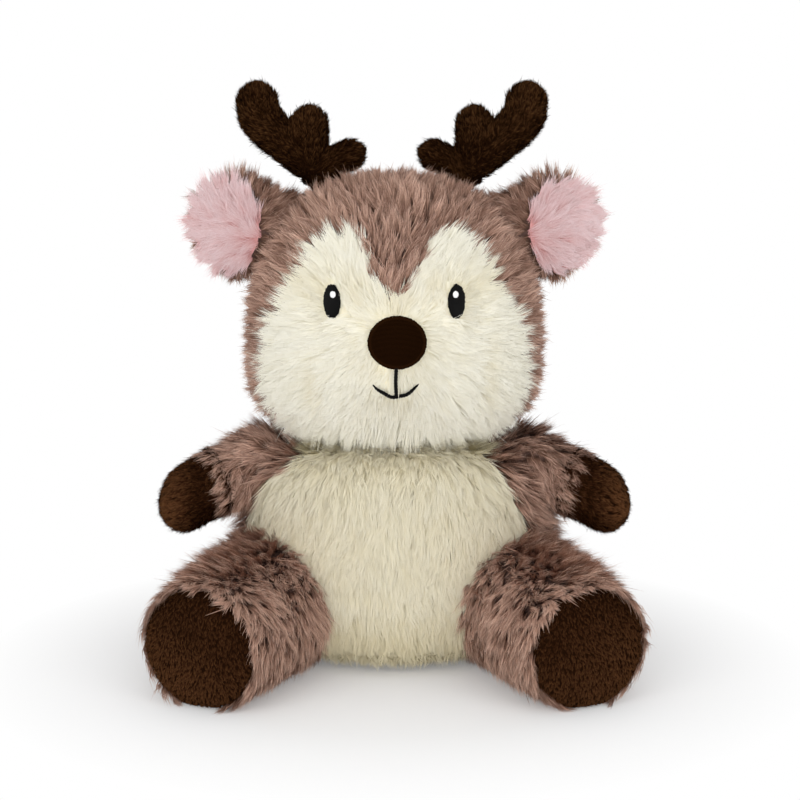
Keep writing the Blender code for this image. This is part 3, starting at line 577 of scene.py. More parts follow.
ARM_ROOT, ARM_TOWARDS = np.array([0.056, 0.014, 0.0865]), unit(np.array([0.87, -0.40, -0.225]))
LEG_ROOT, LEG_TOWARDS = np.array([0.049, 0.002, 0.0285]), unit(np.array([0.42, -0.905, -0.040]))
long_pile = Pile(length=0.0112, lift=35, droop=0.12, lock_radius=0.0016, per_lock=24, gather=0.82,
                 width=0.00034, wander=0.0006, swirl=0.50, softness=0.42, tones=0.30)
cream_pile = Pile(length=0.0108, lift=27, droop=0.08, lock_radius=0.0021, per_lock=32, gather=0.22,
                  width=0.00028, wander=0.0005, swirl=0.26, softness=0.91, tones=0.07)
belly_outline = panel_outline(BELLY_OUTLINE_SHARES, BODY)
mauve = fur_finish(
    "mauve_fur", LONG_STOPS,
    ((0.030, 0.014, 0.009), (0.105, 0.050, 0.031), (0.19, 0.096, 0.065), (0.25, 0.138, 0.098)),
    ((0.095, 0.046, 0.030), (0.39, 0.218, 0.154), (0.64, 0.410, 0.312), (0.80, 0.578, 0.470)))
cream = fur_finish(
    "cream_fur", LONG_STOPS,
    ((0.66, 0.58, 0.36), (0.70, 0.62, 0.41), (0.73, 0.655, 0.45), (0.75, 0.68, 0.48)),
    ((0.85, 0.81, 0.64), (0.88, 0.85, 0.72), (0.89, 0.87, 0.77), (0.90, 0.885, 0.80)))
mauve_backing = backing_finish("mauve_backing", "mauve_fur", (0.07, 0.040, 0.032), (0.12, 0.072, 0.060))
cream_backing = backing_finish("cream_backing", "cream_fur", (0.84, 0.77, 0.57), (0.89, 0.84, 0.67))

body_skin = {**shrunk(BODY, FABRIC_DEPTH), "powers": (BODY["powers"][0], SEAT_POWER)}
chest_skin = {**body_skin, "rise": CHEST_RISE, "powers": (CHEST_POWER, SEAT_POWER)}
body_points, _ = swollen_skin(body_skin, 70, 120)
full_points, body_faces = swollen_skin(chest_skin, 70, 120)
chest = falling(full_points[:, 1], 0.012, 0.020) * rising(full_points[:, 2], 0.070, 0.016)
full_points = full_points + chest[:, None] * np.array(CHEST_SHIFT)
fuller = falling(full_points[:, 1], 0.028, 0.024)[:, None]
body_points = body_points + eased(full_points - body_points, fuller)
body_front = in_belly(body_points[body_faces].mean(1))
made_mesh("body_skin", body_points, body_faces[~body_front], mauve_backing, "torso", "body_cover")
made_mesh("belly_skin", body_points, body_faces[body_front], cream_backing, "torso", "belly_panel")

place, normal = scatter(body_points, body_faces, 18, 11)
behind = place[:, 1] > 0.035
thinned = np.random.default_rng(12).random(len(place)) < np.where(in_belly(place), 1.0, 0.95 - 0.15 * behind)
free = clear_of_limbs(place) & (place[:, 2] > 0.0045) & thinned
free &= ~((place[:, 2] > 0.090) & under_neck(place))
place, normal = place[free], normal[free]
for name, chosen, finish, pile, seed in fur_parts("belly", "body", in_belly(place), place[:, 0], 20):
    here = place[chosen]
    beside, up = np.abs(here[:, 0]), here[:, 2]
    low_share = np.clip(0.70 + (up - 0.004) / 0.014, 0.70, 1.0)
    top = rising(up, 0.076, 0.012)
    shoulder = rising(beside, 0.028, 0.012) * rising(up, 0.070, 0.010)
    flank = rising(beside, 0.050, 0.008) * (finish is mauve)
    # Cream tone: darker towards the bottom of the belly, painted shade near the floor and legs.
    grown(name, "torso", finish, here, normal[chosen], body_flow(here), pile, seed,
          length_share=low_share * (1 + 0.10 * top + 0.20 * shoulder + 0.45 * flank),
          lift_share=1 + 0.25 * top + 0.30 * shoulder + 0.80 * flank,
          tone_shift=-0.12 - 0.40 * falling(up, 0.038, 0.020) if finish is cream else 0.10)

# Neck: a stuffed ball in the seam between the body and the head, so that the head can turn and nod.
# Its fur stands out all round and hides the seam, mauve behind and cream in front.

NECK_MIDDLE, NECK_RADIUS = np.array([0, MIDDLE_Y, 0.097]), 0.0262
NECK_FUR_REACH = 0.016
DOWN = np.array([0.0, 0.0, -1.0])

turn, around = ring_grid((0.35, math.pi - 0.35), 24, 64)
neck_points = NECK_MIDDLE + NECK_RADIUS * np.stack(
    [np.sin(turn) * np.cos(around), np.sin(turn) * np.sin(around), np.cos(turn)], -1).reshape(-1, 3)
neck_faces = outward(neck_points, grid_faces(24, 64), NECK_MIDDLE)
neck_front = neck_points[neck_faces].mean(1)[:, 1] < 0.012
made_mesh("neck_skin", neck_points, neck_faces[~neck_front], mauve_backing, "neck", "neck_stuffing")
made_mesh("neck_skin_front", neck_points, neck_faces[neck_front], cream_backing, "neck")
place, normal = scatter(neck_points, neck_faces, 15, 31)
level = np.abs(place[:, 2] - NECK_MIDDLE[2]) < NECK_FUR_REACH
place, normal = place[level], normal[level]
front = place[:, 1] < 0.010
for name, chosen, finish, pile, seed, shift in (("neck_fur_front", front, cream, cream_pile, 32, 0.0),
                                                ("neck_fur_back", ~front, mauve, long_pile, 33, 0.10)):
    grown(name, "neck", finish, place[chosen], normal[chosen], DOWN, pile, seed, length_share=1.1,
          lift_share=1.8, tone_shift=shift)

# Head: mauve fur fabric with a cream face panel whose two lobes leave a peak down the forehead.
# The fur is brushed outwards from the nose, and it is clipped short round the eyes, nose and mouth.

HEAD = {"half_width": 0.0645, "depth": 0.045, "rise": 0.0715, "drop": 0.0425, "y": 0.0135, "widest": 0.1425,
        "powers": (2.3, 3.7), "muzzle": 0.007}
CLIPPED_DEPTH = 0.0036
FACE_OUTLINE_SHARES = (
    (0.0, 0.36), (0.12, 0.43), (0.195, 0.60), (0.28, 0.72), (0.43, 0.755), (0.60, 0.66), (0.69, 0.50),
    (0.76, 0.32), (0.87, 0.14), (0.915, -0.12), (0.90, -0.50), (0.76, -0.85), (0.46, -0.965), (0.0, -0.98),
)
EYES = ((0.026, 0.1645), (-0.026, 0.1645))
EYE_SIZE = (0.0035, 0.0070)
NOSE, NOSE_SIZE = (0.0012, 0.1486), (0.0120, 0.0107)
# Soft hollows where the cream fur is painted darker as shade: x, z, and the width and height of each.
SHADED_HOLLOWS = (
    (-0.0360, 0.1700, 0.0060, 0.0060), (-0.0140, 0.1650, 0.0050, 0.0070), (0.0145, 0.1650, 0.0050, 0.0070),
    (0.0360, 0.1700, 0.0060, 0.0060), (0.0010, 0.1620, 0.0060, 0.0030), (0.0360, 0.1350, 0.0025, 0.0120),
    (-0.0300, 0.1300, 0.0025, 0.0100),
)
face_outline = panel_outline(FACE_OUTLINE_SHARES, HEAD)


def nearness(x, z):
    """How near a place on the face is to an eye, the nose or the mouth, from 0 to 1."""
    near = np.exp(-((x / 0.0150) ** 2 + ((z - 0.146) / 0.0150) ** 2) ** 1.5)
    near = np.maximum(near, np.exp(-((x / 0.0120) ** 2 + ((z - 0.129) / 0.0075) ** 2)))
    for eye_x, eye_z in EYES:
        near = np.maximum(near, np.exp(-(((x - eye_x) / 0.0065) ** 2 + ((z - eye_z) / 0.0105) ** 2) ** 1.5))
    return near


def head_flow(place):
    """Away from the nose and round the eyes on the front, turning down towards the nape at the back."""
    from_nose = unit(np.stack([place[:, 0], (place[:, 1] + 0.035) * 0.8, place[:, 2] - 0.152], 1))
    for eye_x, eye_z in EYES:
        across, up = place[:, 0] - eye_x, place[:, 2] - eye_z
        near = np.exp(-((across / 0.0075) ** 2 + (up / 0.0110) ** 2)) * (place[:, 1] < 0)
        from_eye = np.stack([across / 0.0038, np.zeros(len(place)), up / 0.0071], 1)
        from_nose = from_nose + from_eye * near[:, None]
    behind = rising(place[:, 1], 0.012, 0.035)[:, None]
    return unit(from_nose) * (1 - behind) + DOWN * behind


def in_face(place):
    """True for places on the cream panel, whose seam lies a little inside the edge that its fur makes."""
    x, y, z = place.T
    panel_x = x * (1.115 + 0.12 * rising(z, 0.165, 0.020))
    panel_z = HEAD["widest"] + (z - HEAD["widest"]) * np.where(z > HEAD["widest"], 1.155, 1.0)
    return inside_outline(panel_x, panel_z, face_outline) & (y < HEAD["y"] + 0.009)


def in_oval(line, centre, size, slack):
    """True for points inside an upright oval on the front, widened by a slack."""
    x, z = line[..., 0] - centre[0], line[..., 2] - centre[1]
    return (x / (size[0] + slack)) ** 2 + (z / (size[1] + slack)) ** 2 < 1


def hollow_shade(x, z):
    """How deep a place lies in one of the soft hollows beside the eyes, over the nose and in the cheek, from
    0 to 1; it darkens the cream fur there as painted shade.
    """
    deep = np.zeros(len(x))
    for place_x, place_z, across, up in SHADED_HOLLOWS:
        deep = np.maximum(deep, np.exp(-(((x - place_x) / across) ** 2 + ((z - place_z) / up) ** 2)))
    return deep


def off_features(line):
    """True for strands that cross neither an eye nor the nose."""
    front = line[..., 1] < -0.010
    hit = (in_oval(line, NOSE, NOSE_SIZE, -0.0006) & front).any(1)
    for eye in EYES:
        hit |= (in_oval(line, eye, EYE_SIZE, -0.0003) & front).any(1)
    return ~hit


head_points, head_faces = swollen_skin(HEAD, 90, 140)
head_normals = point_normals(head_points, head_faces)
near = nearness(head_points[:, 0], head_points[:, 2]) * falling(head_points[:, 1], 0.0, 0.01)
head_points = head_points - head_normals * (FABRIC_DEPTH - CLIPPED_DEPTH * near)[:, None]
head_front = in_face(head_points[head_faces].mean(1))
made_mesh("head_skin", head_points, head_faces[~head_front], mauve_backing, "head", "head_cover")
made_mesh("face_skin", head_points, head_faces[head_front], cream_backing, "head", "face_panel")

place, normal = scatter(head_points, head_faces, 18, 41)
behind = place[:, 1] > 0.030
thinned = np.random.default_rng(42).random(len(place)) < np.where(in_face(place), 1.0, 0.95 - 0.15 * behind)
free = thinned & ~((place[:, 2] < 0.106) & under_neck(place))
place, normal = place[free], normal[free]
for name, chosen, finish, pile, seed in fur_parts("face", "head", in_face(place), place[:, 0], 51):
    here = place[chosen]
    x, y, z = here.T
    close = nearness(x, z) * falling(y, 0.0, 0.01)
    crest = rising(z, 0.192, 0.012)
    hang = falling(z, 0.116, 0.010) * falling(y, 0.0, 0.006)
    outwards = unit(normal[chosen] + hang[:, None] * np.array([0.0, -0.55, 0.15]))
    # Cream tone: darker near the eyes, nose and mouth and in the hollows, as painted shade.
    grown(name, "head", finish, here, outwards, head_flow(here), pile, seed,
          length_share=1 - 0.66 * close + 0.08 * crest + 0.20 * hang,
          lift_share=1 - 0.35 * close + 0.15 * crest, pull=hang[:, None] * np.array([0.0, 0.0, -0.30]),
          tone_shift=0.40 - 0.25 * close - 0.42 * hollow_shade(x, z) if finish is cream else -0.12,
          keep=off_features)

# Eyes: black satin stitches in upright ovals, each with a small white stitched highlight.
# The threads lie side by side, a little ragged at the ends.

SATIN_PITCH, STITCH_RELIEF = 0.00042, 0.00018
HIGHLIGHT_SIZE, HIGHLIGHT_SHIFT = (0.0011, 0.0014), (0.0008, 0.0028)


def ring_at(z, form):
    """Share of the full ring at a level of a superellipse profile: (1 - height^power)^(1/power)."""
    above = z > form["widest"]
    power = np.where(above, *form["powers"])
    height = np.abs(z - form["widest"]) / np.where(above, form["rise"], form["drop"])
    return np.maximum(1 - height**power, 0) ** (1 / power)


def face_depth(x, z):
    """How far back the head's front lies at a place across and up."""
    ring = ring_at(z, HEAD)
    level = np.sqrt(np.maximum(1 - (x / (HEAD["half_width"] * ring)) ** 2, 0))
    return HEAD["y"] - (HEAD["depth"] * ring + muzzle_bulge(x, z, HEAD)) * level


def face_point(x, z, out):
    """Place on the head's front at a place across and up, moved out along the surface's normal."""
    step = 0.0003
    slope_x = (face_depth(x + step, z) - face_depth(x - step, z)) / (2 * step)
    slope_z = (face_depth(x, z + step) - face_depth(x, z - step)) / (2 * step)
    normal = unit(np.stack([slope_x, np.full_like(slope_x, -1.0), slope_z], -1))
    return np.stack([x, face_depth(x, z), z], -1) + normal * np.asarray(out)[..., None]


def stitched_oval(centre, size, thickness, lift, ragged, rim=0.0, seed=0, rings=26, spokes=96):
    """Dome on the face: out = lift + thickness (1 - 0.65 share^3), with a raised rim and a ragged edge.
    Returns points and triangles, and the turn and share of every point for its threads."""
    rng = np.random.default_rng(seed)
    share, turn = ring_grid((0.02, 1), rings, spokes)
    edge = 1 + ragged * rng.uniform(-1, 1, spokes)[None, :] * share**8
    x = centre[0] + size[0] * share * np.cos(turn) * edge
    z = centre[1] + size[1] * share * np.sin(turn) * edge
    dome = thickness * (1 - 0.65 * share**3) + rim * np.exp(-((share - 0.92) / 0.05) ** 2)
    top = face_point(x, z, lift + dome)
    under = face_point(x[-1:], z[-1:], np.full((1, spokes), lift - 0.0006))
    crown, inside = (face_point(np.array([centre[0]]), np.array([centre[1]]), np.array([out]))
                     for out in (lift + thickness, -0.02))
    rim_points = np.concatenate([top, under]).reshape(-1, 3)
    spoke = np.arange(spokes)
    hub = np.full(spokes, len(rim_points))
    faces = np.concatenate([grid_faces(rings + 1, spokes), np.stack([hub, np.roll(spoke, -1), spoke], -1)])
    points = np.concatenate([rim_points, crown])
    threads = np.stack([np.append(np.tile(turn[0] / (2 * math.pi), rings + 1), 0.5),
                        np.append(np.repeat(np.append(share[:, 0], 1.0), spokes), 0.0)], -1)
    return points, outward(points, faces, inside), threads


def satin_finish(name, slot, dark, light, turned):
    """Satin stitches: parallel threads in relief, painted lighter along their backs and darker between them,
    as painted highlight and shade.
    """
    made = Finish(name, slot, 0.45, 0.06)
    laid = made.add("ShaderNodeMapping", {}, {"Vector": made.place(), "Rotation": (0, turned, 0)})
    ridges = made.bands(SATIN_PITCH, "Z", laid, Distortion=0.8, Detail=1.0)
    made.colour(made.mix(ridges, dark, light))
    made.bump(ridges, STITCH_RELIEF, 0.8)
    return made


black_satin = satin_finish("black_satin", "black_thread", (0.0010, 0.0010, 0.0010),
                           (0.0050, 0.0046, 0.0046), 1.35)
white_satin = satin_finish("white_satin", "white_thread", (0.80, 0.80, 0.80), (0.93, 0.93, 0.93), 0.2)
for side, (eye_x, eye_z), inward in (("left", EYES[0], -1), ("right", EYES[1], 1)):
    points, faces, _ = stitched_oval((eye_x, eye_z), EYE_SIZE, 0.0012, 0.0003, 0.045, seed=61 + inward)
    made_mesh(f"eye_{side}_stitches", points, faces, black_satin, "head", "eye_" + side)
    shine_at = (eye_x + HIGHLIGHT_SHIFT[0] * inward, eye_z + HIGHLIGHT_SHIFT[1])
    points, faces, _ = stitched_oval(shine_at, HIGHLIGHT_SIZE, 0.0006, 0.0016, 0.06, seed=64 + inward,
                                     rings=8, spokes=32)
    made_mesh(f"eye_{side}_highlight", points, faces, white_satin, "head", "eye_highlight_" + side)

# Nose: a padded oval of dark brown satin stitches laid across, closed by a raised border.
# The border is 80 short stitches that run round the edge.

BORDER_STITCHES, BORDER_FROM = 80, 0.84

nose_satin = Finish("nose_satin", "brown_nap", 0.6, 0.0)
across = nose_satin.bands(0.00050, "Z", Distortion=0.6, Detail=1.0)
turned, share_out = nose_satin.strand_map()
border = ((share_out - BORDER_FROM) * 25.0).clipped()
round_it = (turned * (2 * math.pi * BORDER_STITCHES)).sine() * 0.5 + 0.5
# The threads laid across are painted lighter along their backs and darker between them, as painted highlight
# and shade.
laid_across = nose_satin.mix(across, (0.004, 0.0014, 0.0005), (0.015, 0.0055, 0.0018))
nose_satin.colour(nose_satin.mix(border, laid_across, (0.014, 0.0052, 0.0018)))
nose_satin.bump(round_it * border + across * (1 - border), 0.0002, 0.8)
points, faces, threads = stitched_oval(NOSE, NOSE_SIZE, 0.0032, 0.0003, 0.012, rim=0.0004, seed=71, rings=34,
                                       spokes=160)
made_mesh("nose_stitches", points, faces, nose_satin, "head", "nose_patch", tone=threads)

# Mouth: one black thread, whipped down from the nose and out along a smile.
# The thread lies on the face, ribbed by its stitches, and thins at the ends of the smile.

STROKE_TOP, SMILE_LEVEL = 0.1400, 0.1263
THREAD_RADIUS, THREAD_OUT, THREAD_RIB = 0.00078, 0.0014, 0.14


def cord_points(centres, radii, sides=10):
    """Tube round a line of centres: a circle of each radius, square to the line."""
    tangent = unit(np.gradient(centres, axis=0))
    across = unit(np.cross(tangent, np.array([0.0, -1.0, 0.0])))
    up = np.cross(tangent, across)
    around = np.linspace(0, 2 * math.pi, sides, endpoint=False)
    points = (centres[:, None] + radii[:, None, None] * (across[:, None] * np.cos(around)[None, :, None]
                                                         + up[:, None] * np.sin(around)[None, :, None]))
    return points.reshape(-1, 3), grid_faces(len(centres), sides)


steps = np.linspace(0, 1, 60)
drop_z = STROKE_TOP - (STROKE_TOP - SMILE_LEVEL) * steps
stroke_centres = face_point(np.full(60, 0.0010) - 0.0004 * np.sin(steps * 3), drop_z, np.full(60, THREAD_OUT))
stroke_ribs = THREAD_RADIUS * (1 + THREAD_RIB * np.sin(steps * 2 * math.pi * 11))
stroke_radii = stroke_ribs * np.minimum(1, (1 - steps) * 12 + 0.5)
steps = np.linspace(-1, 1, 120)
smile_z = SMILE_LEVEL + 0.0052 * steps**2 + 0.0002 * np.sin(steps * 9)
smile_centres = face_point(0.0006 + 0.0092 * steps, smile_z, np.full(120, THREAD_OUT))
smile_ribs = THREAD_RADIUS * (1 + THREAD_RIB * np.sin(steps * 2 * math.pi * 9))
smile_radii = smile_ribs * (1 - 0.75 * np.abs(steps) ** 6)
stroke_points, stroke_faces = cord_points(stroke_centres, stroke_radii)
smile_points, smile_faces = cord_points(smile_centres, smile_radii)
made_mesh("mouth_thread", np.concatenate([stroke_points, smile_points]),
          np.concatenate([stroke_faces, smile_faces + len(stroke_points)]), black_satin, "head",
          "mouth_stitching")

# Legs: fur tubes that lean out and forwards, brushed towards the foot and downwards.
# Each is closed by a round sole of short dark nap, over whose edge the long fur hangs.

LEG_FABRIC_DEPTH, RIM_FABRIC_DEPTH, NAP_DEPTH = 0.0018, 0.0015, 0.0006
LEG_RADIUS, LEG_LENGTH, SOLE_CROWN = 0.029, 0.073, 0.0105
LEG_RADIUS_SHARES = (1.0, 0.98, 0.96, 0.94, 0.925)
SOLE_RADIUS = LEG_RADIUS * LEG_RADIUS_SHARES[-1]
NAP_STOPS = (0.0, 0.5, 1.0)


def limb_frame(towards):
    """Level axis square to a limb, and the axis square to both, which points up."""
    wide = unit(np.cross(towards, np.array([0.0, 0.0, 1.0])))
    return wide, np.cross(wide, towards)


def limb_grid(root, towards, along, radius, columns, curl=0.0, reach=1.0):
    """Circles along a limb: centre = root + towards along - up curl (along / reach)^3, at each radius."""
    wide, up = limb_frame(towards)
    share = np.clip(along / reach, 0, 1.3)
    centre = root + towards * along[:, None] - up * (curl * share**3)[:, None]
    around = np.linspace(0, 2 * math.pi, columns, endpoint=False)
    circle = wide * np.cos(around)[:, None] + up * np.sin(around)[:, None]
    return (centre[:, None] + radius[:, None, None] * circle[None]).reshape(-1, 3)


def limb_skin(root, towards, along, radius, columns, middle, curl=0.0, reach=1.0):
    """Points and triangles of a limb's skin, facing away from its middle."""
    points = limb_grid(root, towards, along, radius, columns, curl, reach)
    return points, outward(points, grid_faces(len(along), columns), root + towards * middle)


def share_of(share, shares):
    """Value at a share of a length, from a table of values at even steps along it."""
    return np.interp(share, np.linspace(0, 1, len(shares)), shares)


def split_along(place, root, towards):
    """Distance of each place along a limb, and its offset square to the limb."""
    along = (place - root) @ towards
    return along, place - root - towards * along[:, None]


def inside_body(place, slack):
    """True for places deeper in the body than a slack."""
    form = shrunk(BODY, slack)
    level = (place[:, 0] / form["half_width"]) ** 2 + ((place[:, 1] - form["y"]) / form["depth"]) ** 2
    return level < ring_at(place[:, 2], form) ** 2


brown_nap = fur_finish(
    "brown_nap", NAP_STOPS, ((0.006, 0.002, 0.0008), (0.018, 0.0062, 0.0024), (0.040, 0.0145, 0.0056)),
    ((0.018, 0.007, 0.0026), (0.072, 0.0290, 0.0110), (0.170, 0.0740, 0.0310)), 0.9, 0.0)
# Antler nap: a darker copy of the brown nap for the same colour slot, painted shade of nap brushed away from
# the camera.
shaded_nap = fur_finish(
    "shaded_nap", NAP_STOPS, ((0.003, 0.001, 0.0004), (0.008, 0.0028, 0.0010), (0.020, 0.0070, 0.0026)),
    ((0.010, 0.004, 0.0015), (0.055, 0.0230, 0.0080), (0.150, 0.0690, 0.0270)), 0.9, 0.0, "brown_nap")
brown_backing = backing_finish("brown_backing", "brown_nap", (0.008, 0.0030, 0.0012), (0.016, 0.0060, 0.0024))
messy_pile = Pile(length=0.0116, lift=30, droop=0.10, lock_radius=0.0016, per_lock=26, gather=0.66,
                  width=0.00034, wander=0.0007, swirl=0.62, softness=0.50, tones=0.27)
sole_pile = Pile(length=0.0019, lift=34, droop=0.12, lock_radius=0.0004, per_lock=6, gather=0.30,
                 width=0.00027, wander=0.0002, swirl=0.50, softness=0.75, tones=0.12)
short_pile = Pile(length=0.0030, lift=34, droop=0.14, lock_radius=0.0007, per_lock=8, gather=0.34,
                  width=0.00034, wander=0.0004, swirl=0.35, softness=0.55, tones=0.20)

turn = np.linspace(0.02, math.pi / 2, 12, endpoint=False)
tube = np.linspace(0, LEG_LENGTH + RIM_FABRIC_DEPTH, 30)
tube_radius = LEG_RADIUS * share_of(tube / LEG_LENGTH, LEG_RADIUS_SHARES) - LEG_FABRIC_DEPTH
tube_radius = tube_radius + eased(LEG_FABRIC_DEPTH - RIM_FABRIC_DEPTH, rising(tube, 0.058, 0.016))
leg_along = np.concatenate([-np.cos(turn) * (LEG_RADIUS - LEG_FABRIC_DEPTH), tube])
leg_radius = np.concatenate([np.sin(turn) * (LEG_RADIUS - LEG_FABRIC_DEPTH), tube_radius])
turn = np.linspace(math.pi / 2 - 0.16, 0.001, 24)
dome_along = np.insert(LEG_LENGTH + (SOLE_CROWN - NAP_DEPTH) * np.cos(turn), 0, LEG_LENGTH - 0.003)
dome_radius = np.insert((SOLE_RADIUS - NAP_DEPTH) * np.sin(turn), 0, SOLE_RADIUS - 0.0026)

for side, mirror in SIDES:
    body, root, towards = "leg_" + side, LEG_ROOT * mirror, unit(LEG_TOWARDS * mirror)
    points, faces = limb_skin(root, towards, leg_along, leg_radius, 72, 0.036)
    made_mesh("leg_skin_" + side, points, faces, mauve_backing, body, "leg_cover_" + side)
    place, normal = scatter(points, faces, 16, 81)
    free = ~inside_body(place, 0.006) & (place[:, 2] > 0.003)
    place, normal = place[free], normal[free]
    along, radial = split_along(place, root, towards)
    near_sole = rising(along, 0.056, 0.016)
    upper = np.clip(normal[:, 2], 0, 1)
    thigh = upper * falling(along, 0.050, 0.025)
    ridge = np.clip(upper * 0.55 + radial[:, 0] * mirror[0] / LEG_RADIUS * 0.8, 0, 1)
    ridge = ridge * falling(along, 0.058, 0.020)
    flow = towards * (0.60 + 0.40 * thigh)[:, None] + DOWN * (0.85 - 0.45 * thigh)[:, None]
    outer = np.clip(unit(radial)[:, 0] * mirror[0], 0, 1)
    inwards = -unit(radial) * (0.20 + 0.42 * outer)[:, None]
    over_rim = (inwards - np.array([0.0, 0.0, 0.06])) * near_sole[:, None]
    # Tone: lighter than the body's fur, and lighter still where the fur faces up, which is painted light from
    # above.
    grown("leg_fur_" + side, body, mauve, place, normal, flow, messy_pile, 82 + (side == "left"),
          length_share=1 + 0.36 * ridge + 0.15 * upper * near_sole,
          lift_share=1 + 0.48 * ridge + 0.15 * upper * (1 - thigh), pull=over_rim,
          tone_shift=0.28 + 0.35 * upper)

    points, faces = limb_skin(root, towards, dome_along, dome_radius, 72, 0.05)
    points[:, 2] = np.maximum(points[:, 2], 0.0006)
    made_mesh("sole_skin_" + side, points, faces, brown_backing, body, "sole_" + side)
    place, normal = scatter(points, faces, 110, 84)
    _, radial = split_along(place, root, towards)
    lit_side = np.clip((radial[:, 0] * mirror[0] - radial[:, 2]) / 0.030, -1, 1)
    grown("sole_nap_" + side, body, brown_nap, place, normal, DOWN, sole_pile, 85,
          tone_shift=0.34 * lit_side - 0.06)

# Arms: fur sleeves that point out and down, brushed towards the hooves.
# The hooves are short dark nap, curled towards the floor, and the sleeve's fur falls over their seam.

ARM_RADIUS, ARM_LENGTH, WRIST, HOOF_CURL = 0.017, 0.038, 0.026, 0.0030
ARM_FABRIC_DEPTH, WRIST_THINNER = 0.0037, 0.0022
ARM_RADIUS_SHARES = (1.0, 0.97, 0.91, 0.86, 0.83, 0.82)


def arm_radius(along):
    """Radius of the arm at a distance along it."""
    return ARM_RADIUS * share_of(along / ARM_LENGTH, ARM_RADIUS_SHARES)


turn = np.linspace(0.02, math.pi / 2, 10, endpoint=False)
tube = np.linspace(0, WRIST, 16)
inset = ARM_FABRIC_DEPTH - WRIST_THINNER * rising(tube, 0.014, 0.012)
sleeve_along = np.concatenate([-np.cos(turn) * (ARM_RADIUS - inset[0]), tube])
sleeve_radius = np.concatenate([np.sin(turn) * (ARM_RADIUS - inset[0]), arm_radius(tube) - inset])
tube = np.linspace(WRIST - 0.002, ARM_LENGTH, 10)
turn = np.linspace(math.pi / 2, 0.001, 14)
tip = ARM_RADIUS * ARM_RADIUS_SHARES[-1] - NAP_DEPTH
hoof_along = np.concatenate([[WRIST - 0.003], tube, (ARM_LENGTH + tip * np.cos(turn))[1:]])
hoof_radius = np.concatenate([[arm_radius(WRIST) - 0.004], arm_radius(tube) - NAP_DEPTH,
                              (tip * np.sin(turn))[1:]])

for side, mirror in SIDES:
    body, root, towards = "arm_" + side, ARM_ROOT * mirror, unit(ARM_TOWARDS * mirror)
    points, faces = limb_skin(root, towards, sleeve_along, sleeve_radius, 56, 0.013, HOOF_CURL, ARM_LENGTH)
    made_mesh("arm_skin_" + side, points, faces, mauve_backing, body, "arm_cover_" + side)
    place, normal = scatter(points, faces, 18, 91)
    free = ~inside_body(place, 0.004)
    place, normal = place[free], normal[free]
    along, radial = split_along(place, root, towards)
    near_wrist, near_root = rising(along, 0.010, 0.014), falling(along, 0.008, 0.010)
    # Tone: the left arm a little darker, painted shade on the side of the weaker lamp.
    grown("arm_fur_" + side, body, mauve, place, normal, towards + DOWN * 0.25, messy_pile,
          92 + (side == "left"), length_share=1 - 0.14 * near_wrist,
          lift_share=1.1 - 0.3 * near_wrist + 0.3 * near_root, tone_shift=-0.02 - 0.10 * (side == "left"),
          pull=-unit(radial) * 0.25 * near_wrist[:, None])

    points, faces = limb_skin(root, towards, hoof_along, hoof_radius, 56, 0.038, HOOF_CURL, ARM_LENGTH)
    made_mesh("hoof_skin_" + side, points, faces, brown_backing, body, "hoof_" + side)
    place, normal = scatter(points, faces, 65, 94)
    # Tone: lighter on the outer side and darker on the inner side, as painted light and shade.
    outer = np.clip((np.abs(place[:, 0]) - 0.0900) / 0.006, -1, 1)
    grown("hoof_nap_" + side, body, brown_nap, place, normal, towards, short_pile, 95,
          tone_shift=0.50 * outer - 0.02)

# Ears: flat rounded fur backs whose fronts are lined with long pink fur, brushed out from the middle.
# Each is a thin stuffed bag. Its lining lies on the front, a little hollow in the middle, and is cut in
# low on the outer side.

EAR_ROOT, EAR_TOWARDS = np.array([0.049, 0.0175, 0.188]), unit(np.array([0.985, -0.10, 0.10]))
EAR_LENGTH, EAR_HEIGHT, EAR_CROWN, EAR_MIDDLE, EAR_START = 0.040, 0.0225, 0.0079, 0.0245, -0.009
EAR_FABRIC_DEPTH, EAR_FRONT_DEPTH, EAR_SHORTER = 0.0036, 0.0034, 0.003
LINING_WIDE, LINING_HIGH, LINING_LOWERED = 0.0142, 0.0185, 0.0005
EAR_SWELL_SHARES = (0.422, 0.52, 0.76, 0.93, 1.0, 0.93, 0.70)
EAR_FLAT_SHARES = (1.0, 0.95, 0.62, 0.42, 0.36, 0.36, 0.38)
EAR_UPPER_SHARES = (0.78, 0.84, 0.92, 0.98, 1.0, 0.93, 0.70)
pink = fur_finish(
    "pink_fur", (0.0, 0.35, 0.8, 1.0),
    ((0.44, 0.155, 0.140), (0.56, 0.29, 0.28), (0.65, 0.43, 0.43), (0.69, 0.52, 0.53)),
    ((0.58, 0.30, 0.29), (0.71, 0.49, 0.49), (0.79, 0.65, 0.66), (0.85, 0.77, 0.78)))
pink_backing = backing_finish("pink_backing", "pink_fur", (0.58, 0.26, 0.25), (0.70, 0.36, 0.35))
soft_pile = Pile(length=0.0118, lift=30, droop=0.14, lock_radius=0.0018, per_lock=30, gather=0.45,
                 width=0.00026, wander=0.0008, swirl=0.75, softness=0.80, tones=0.13)

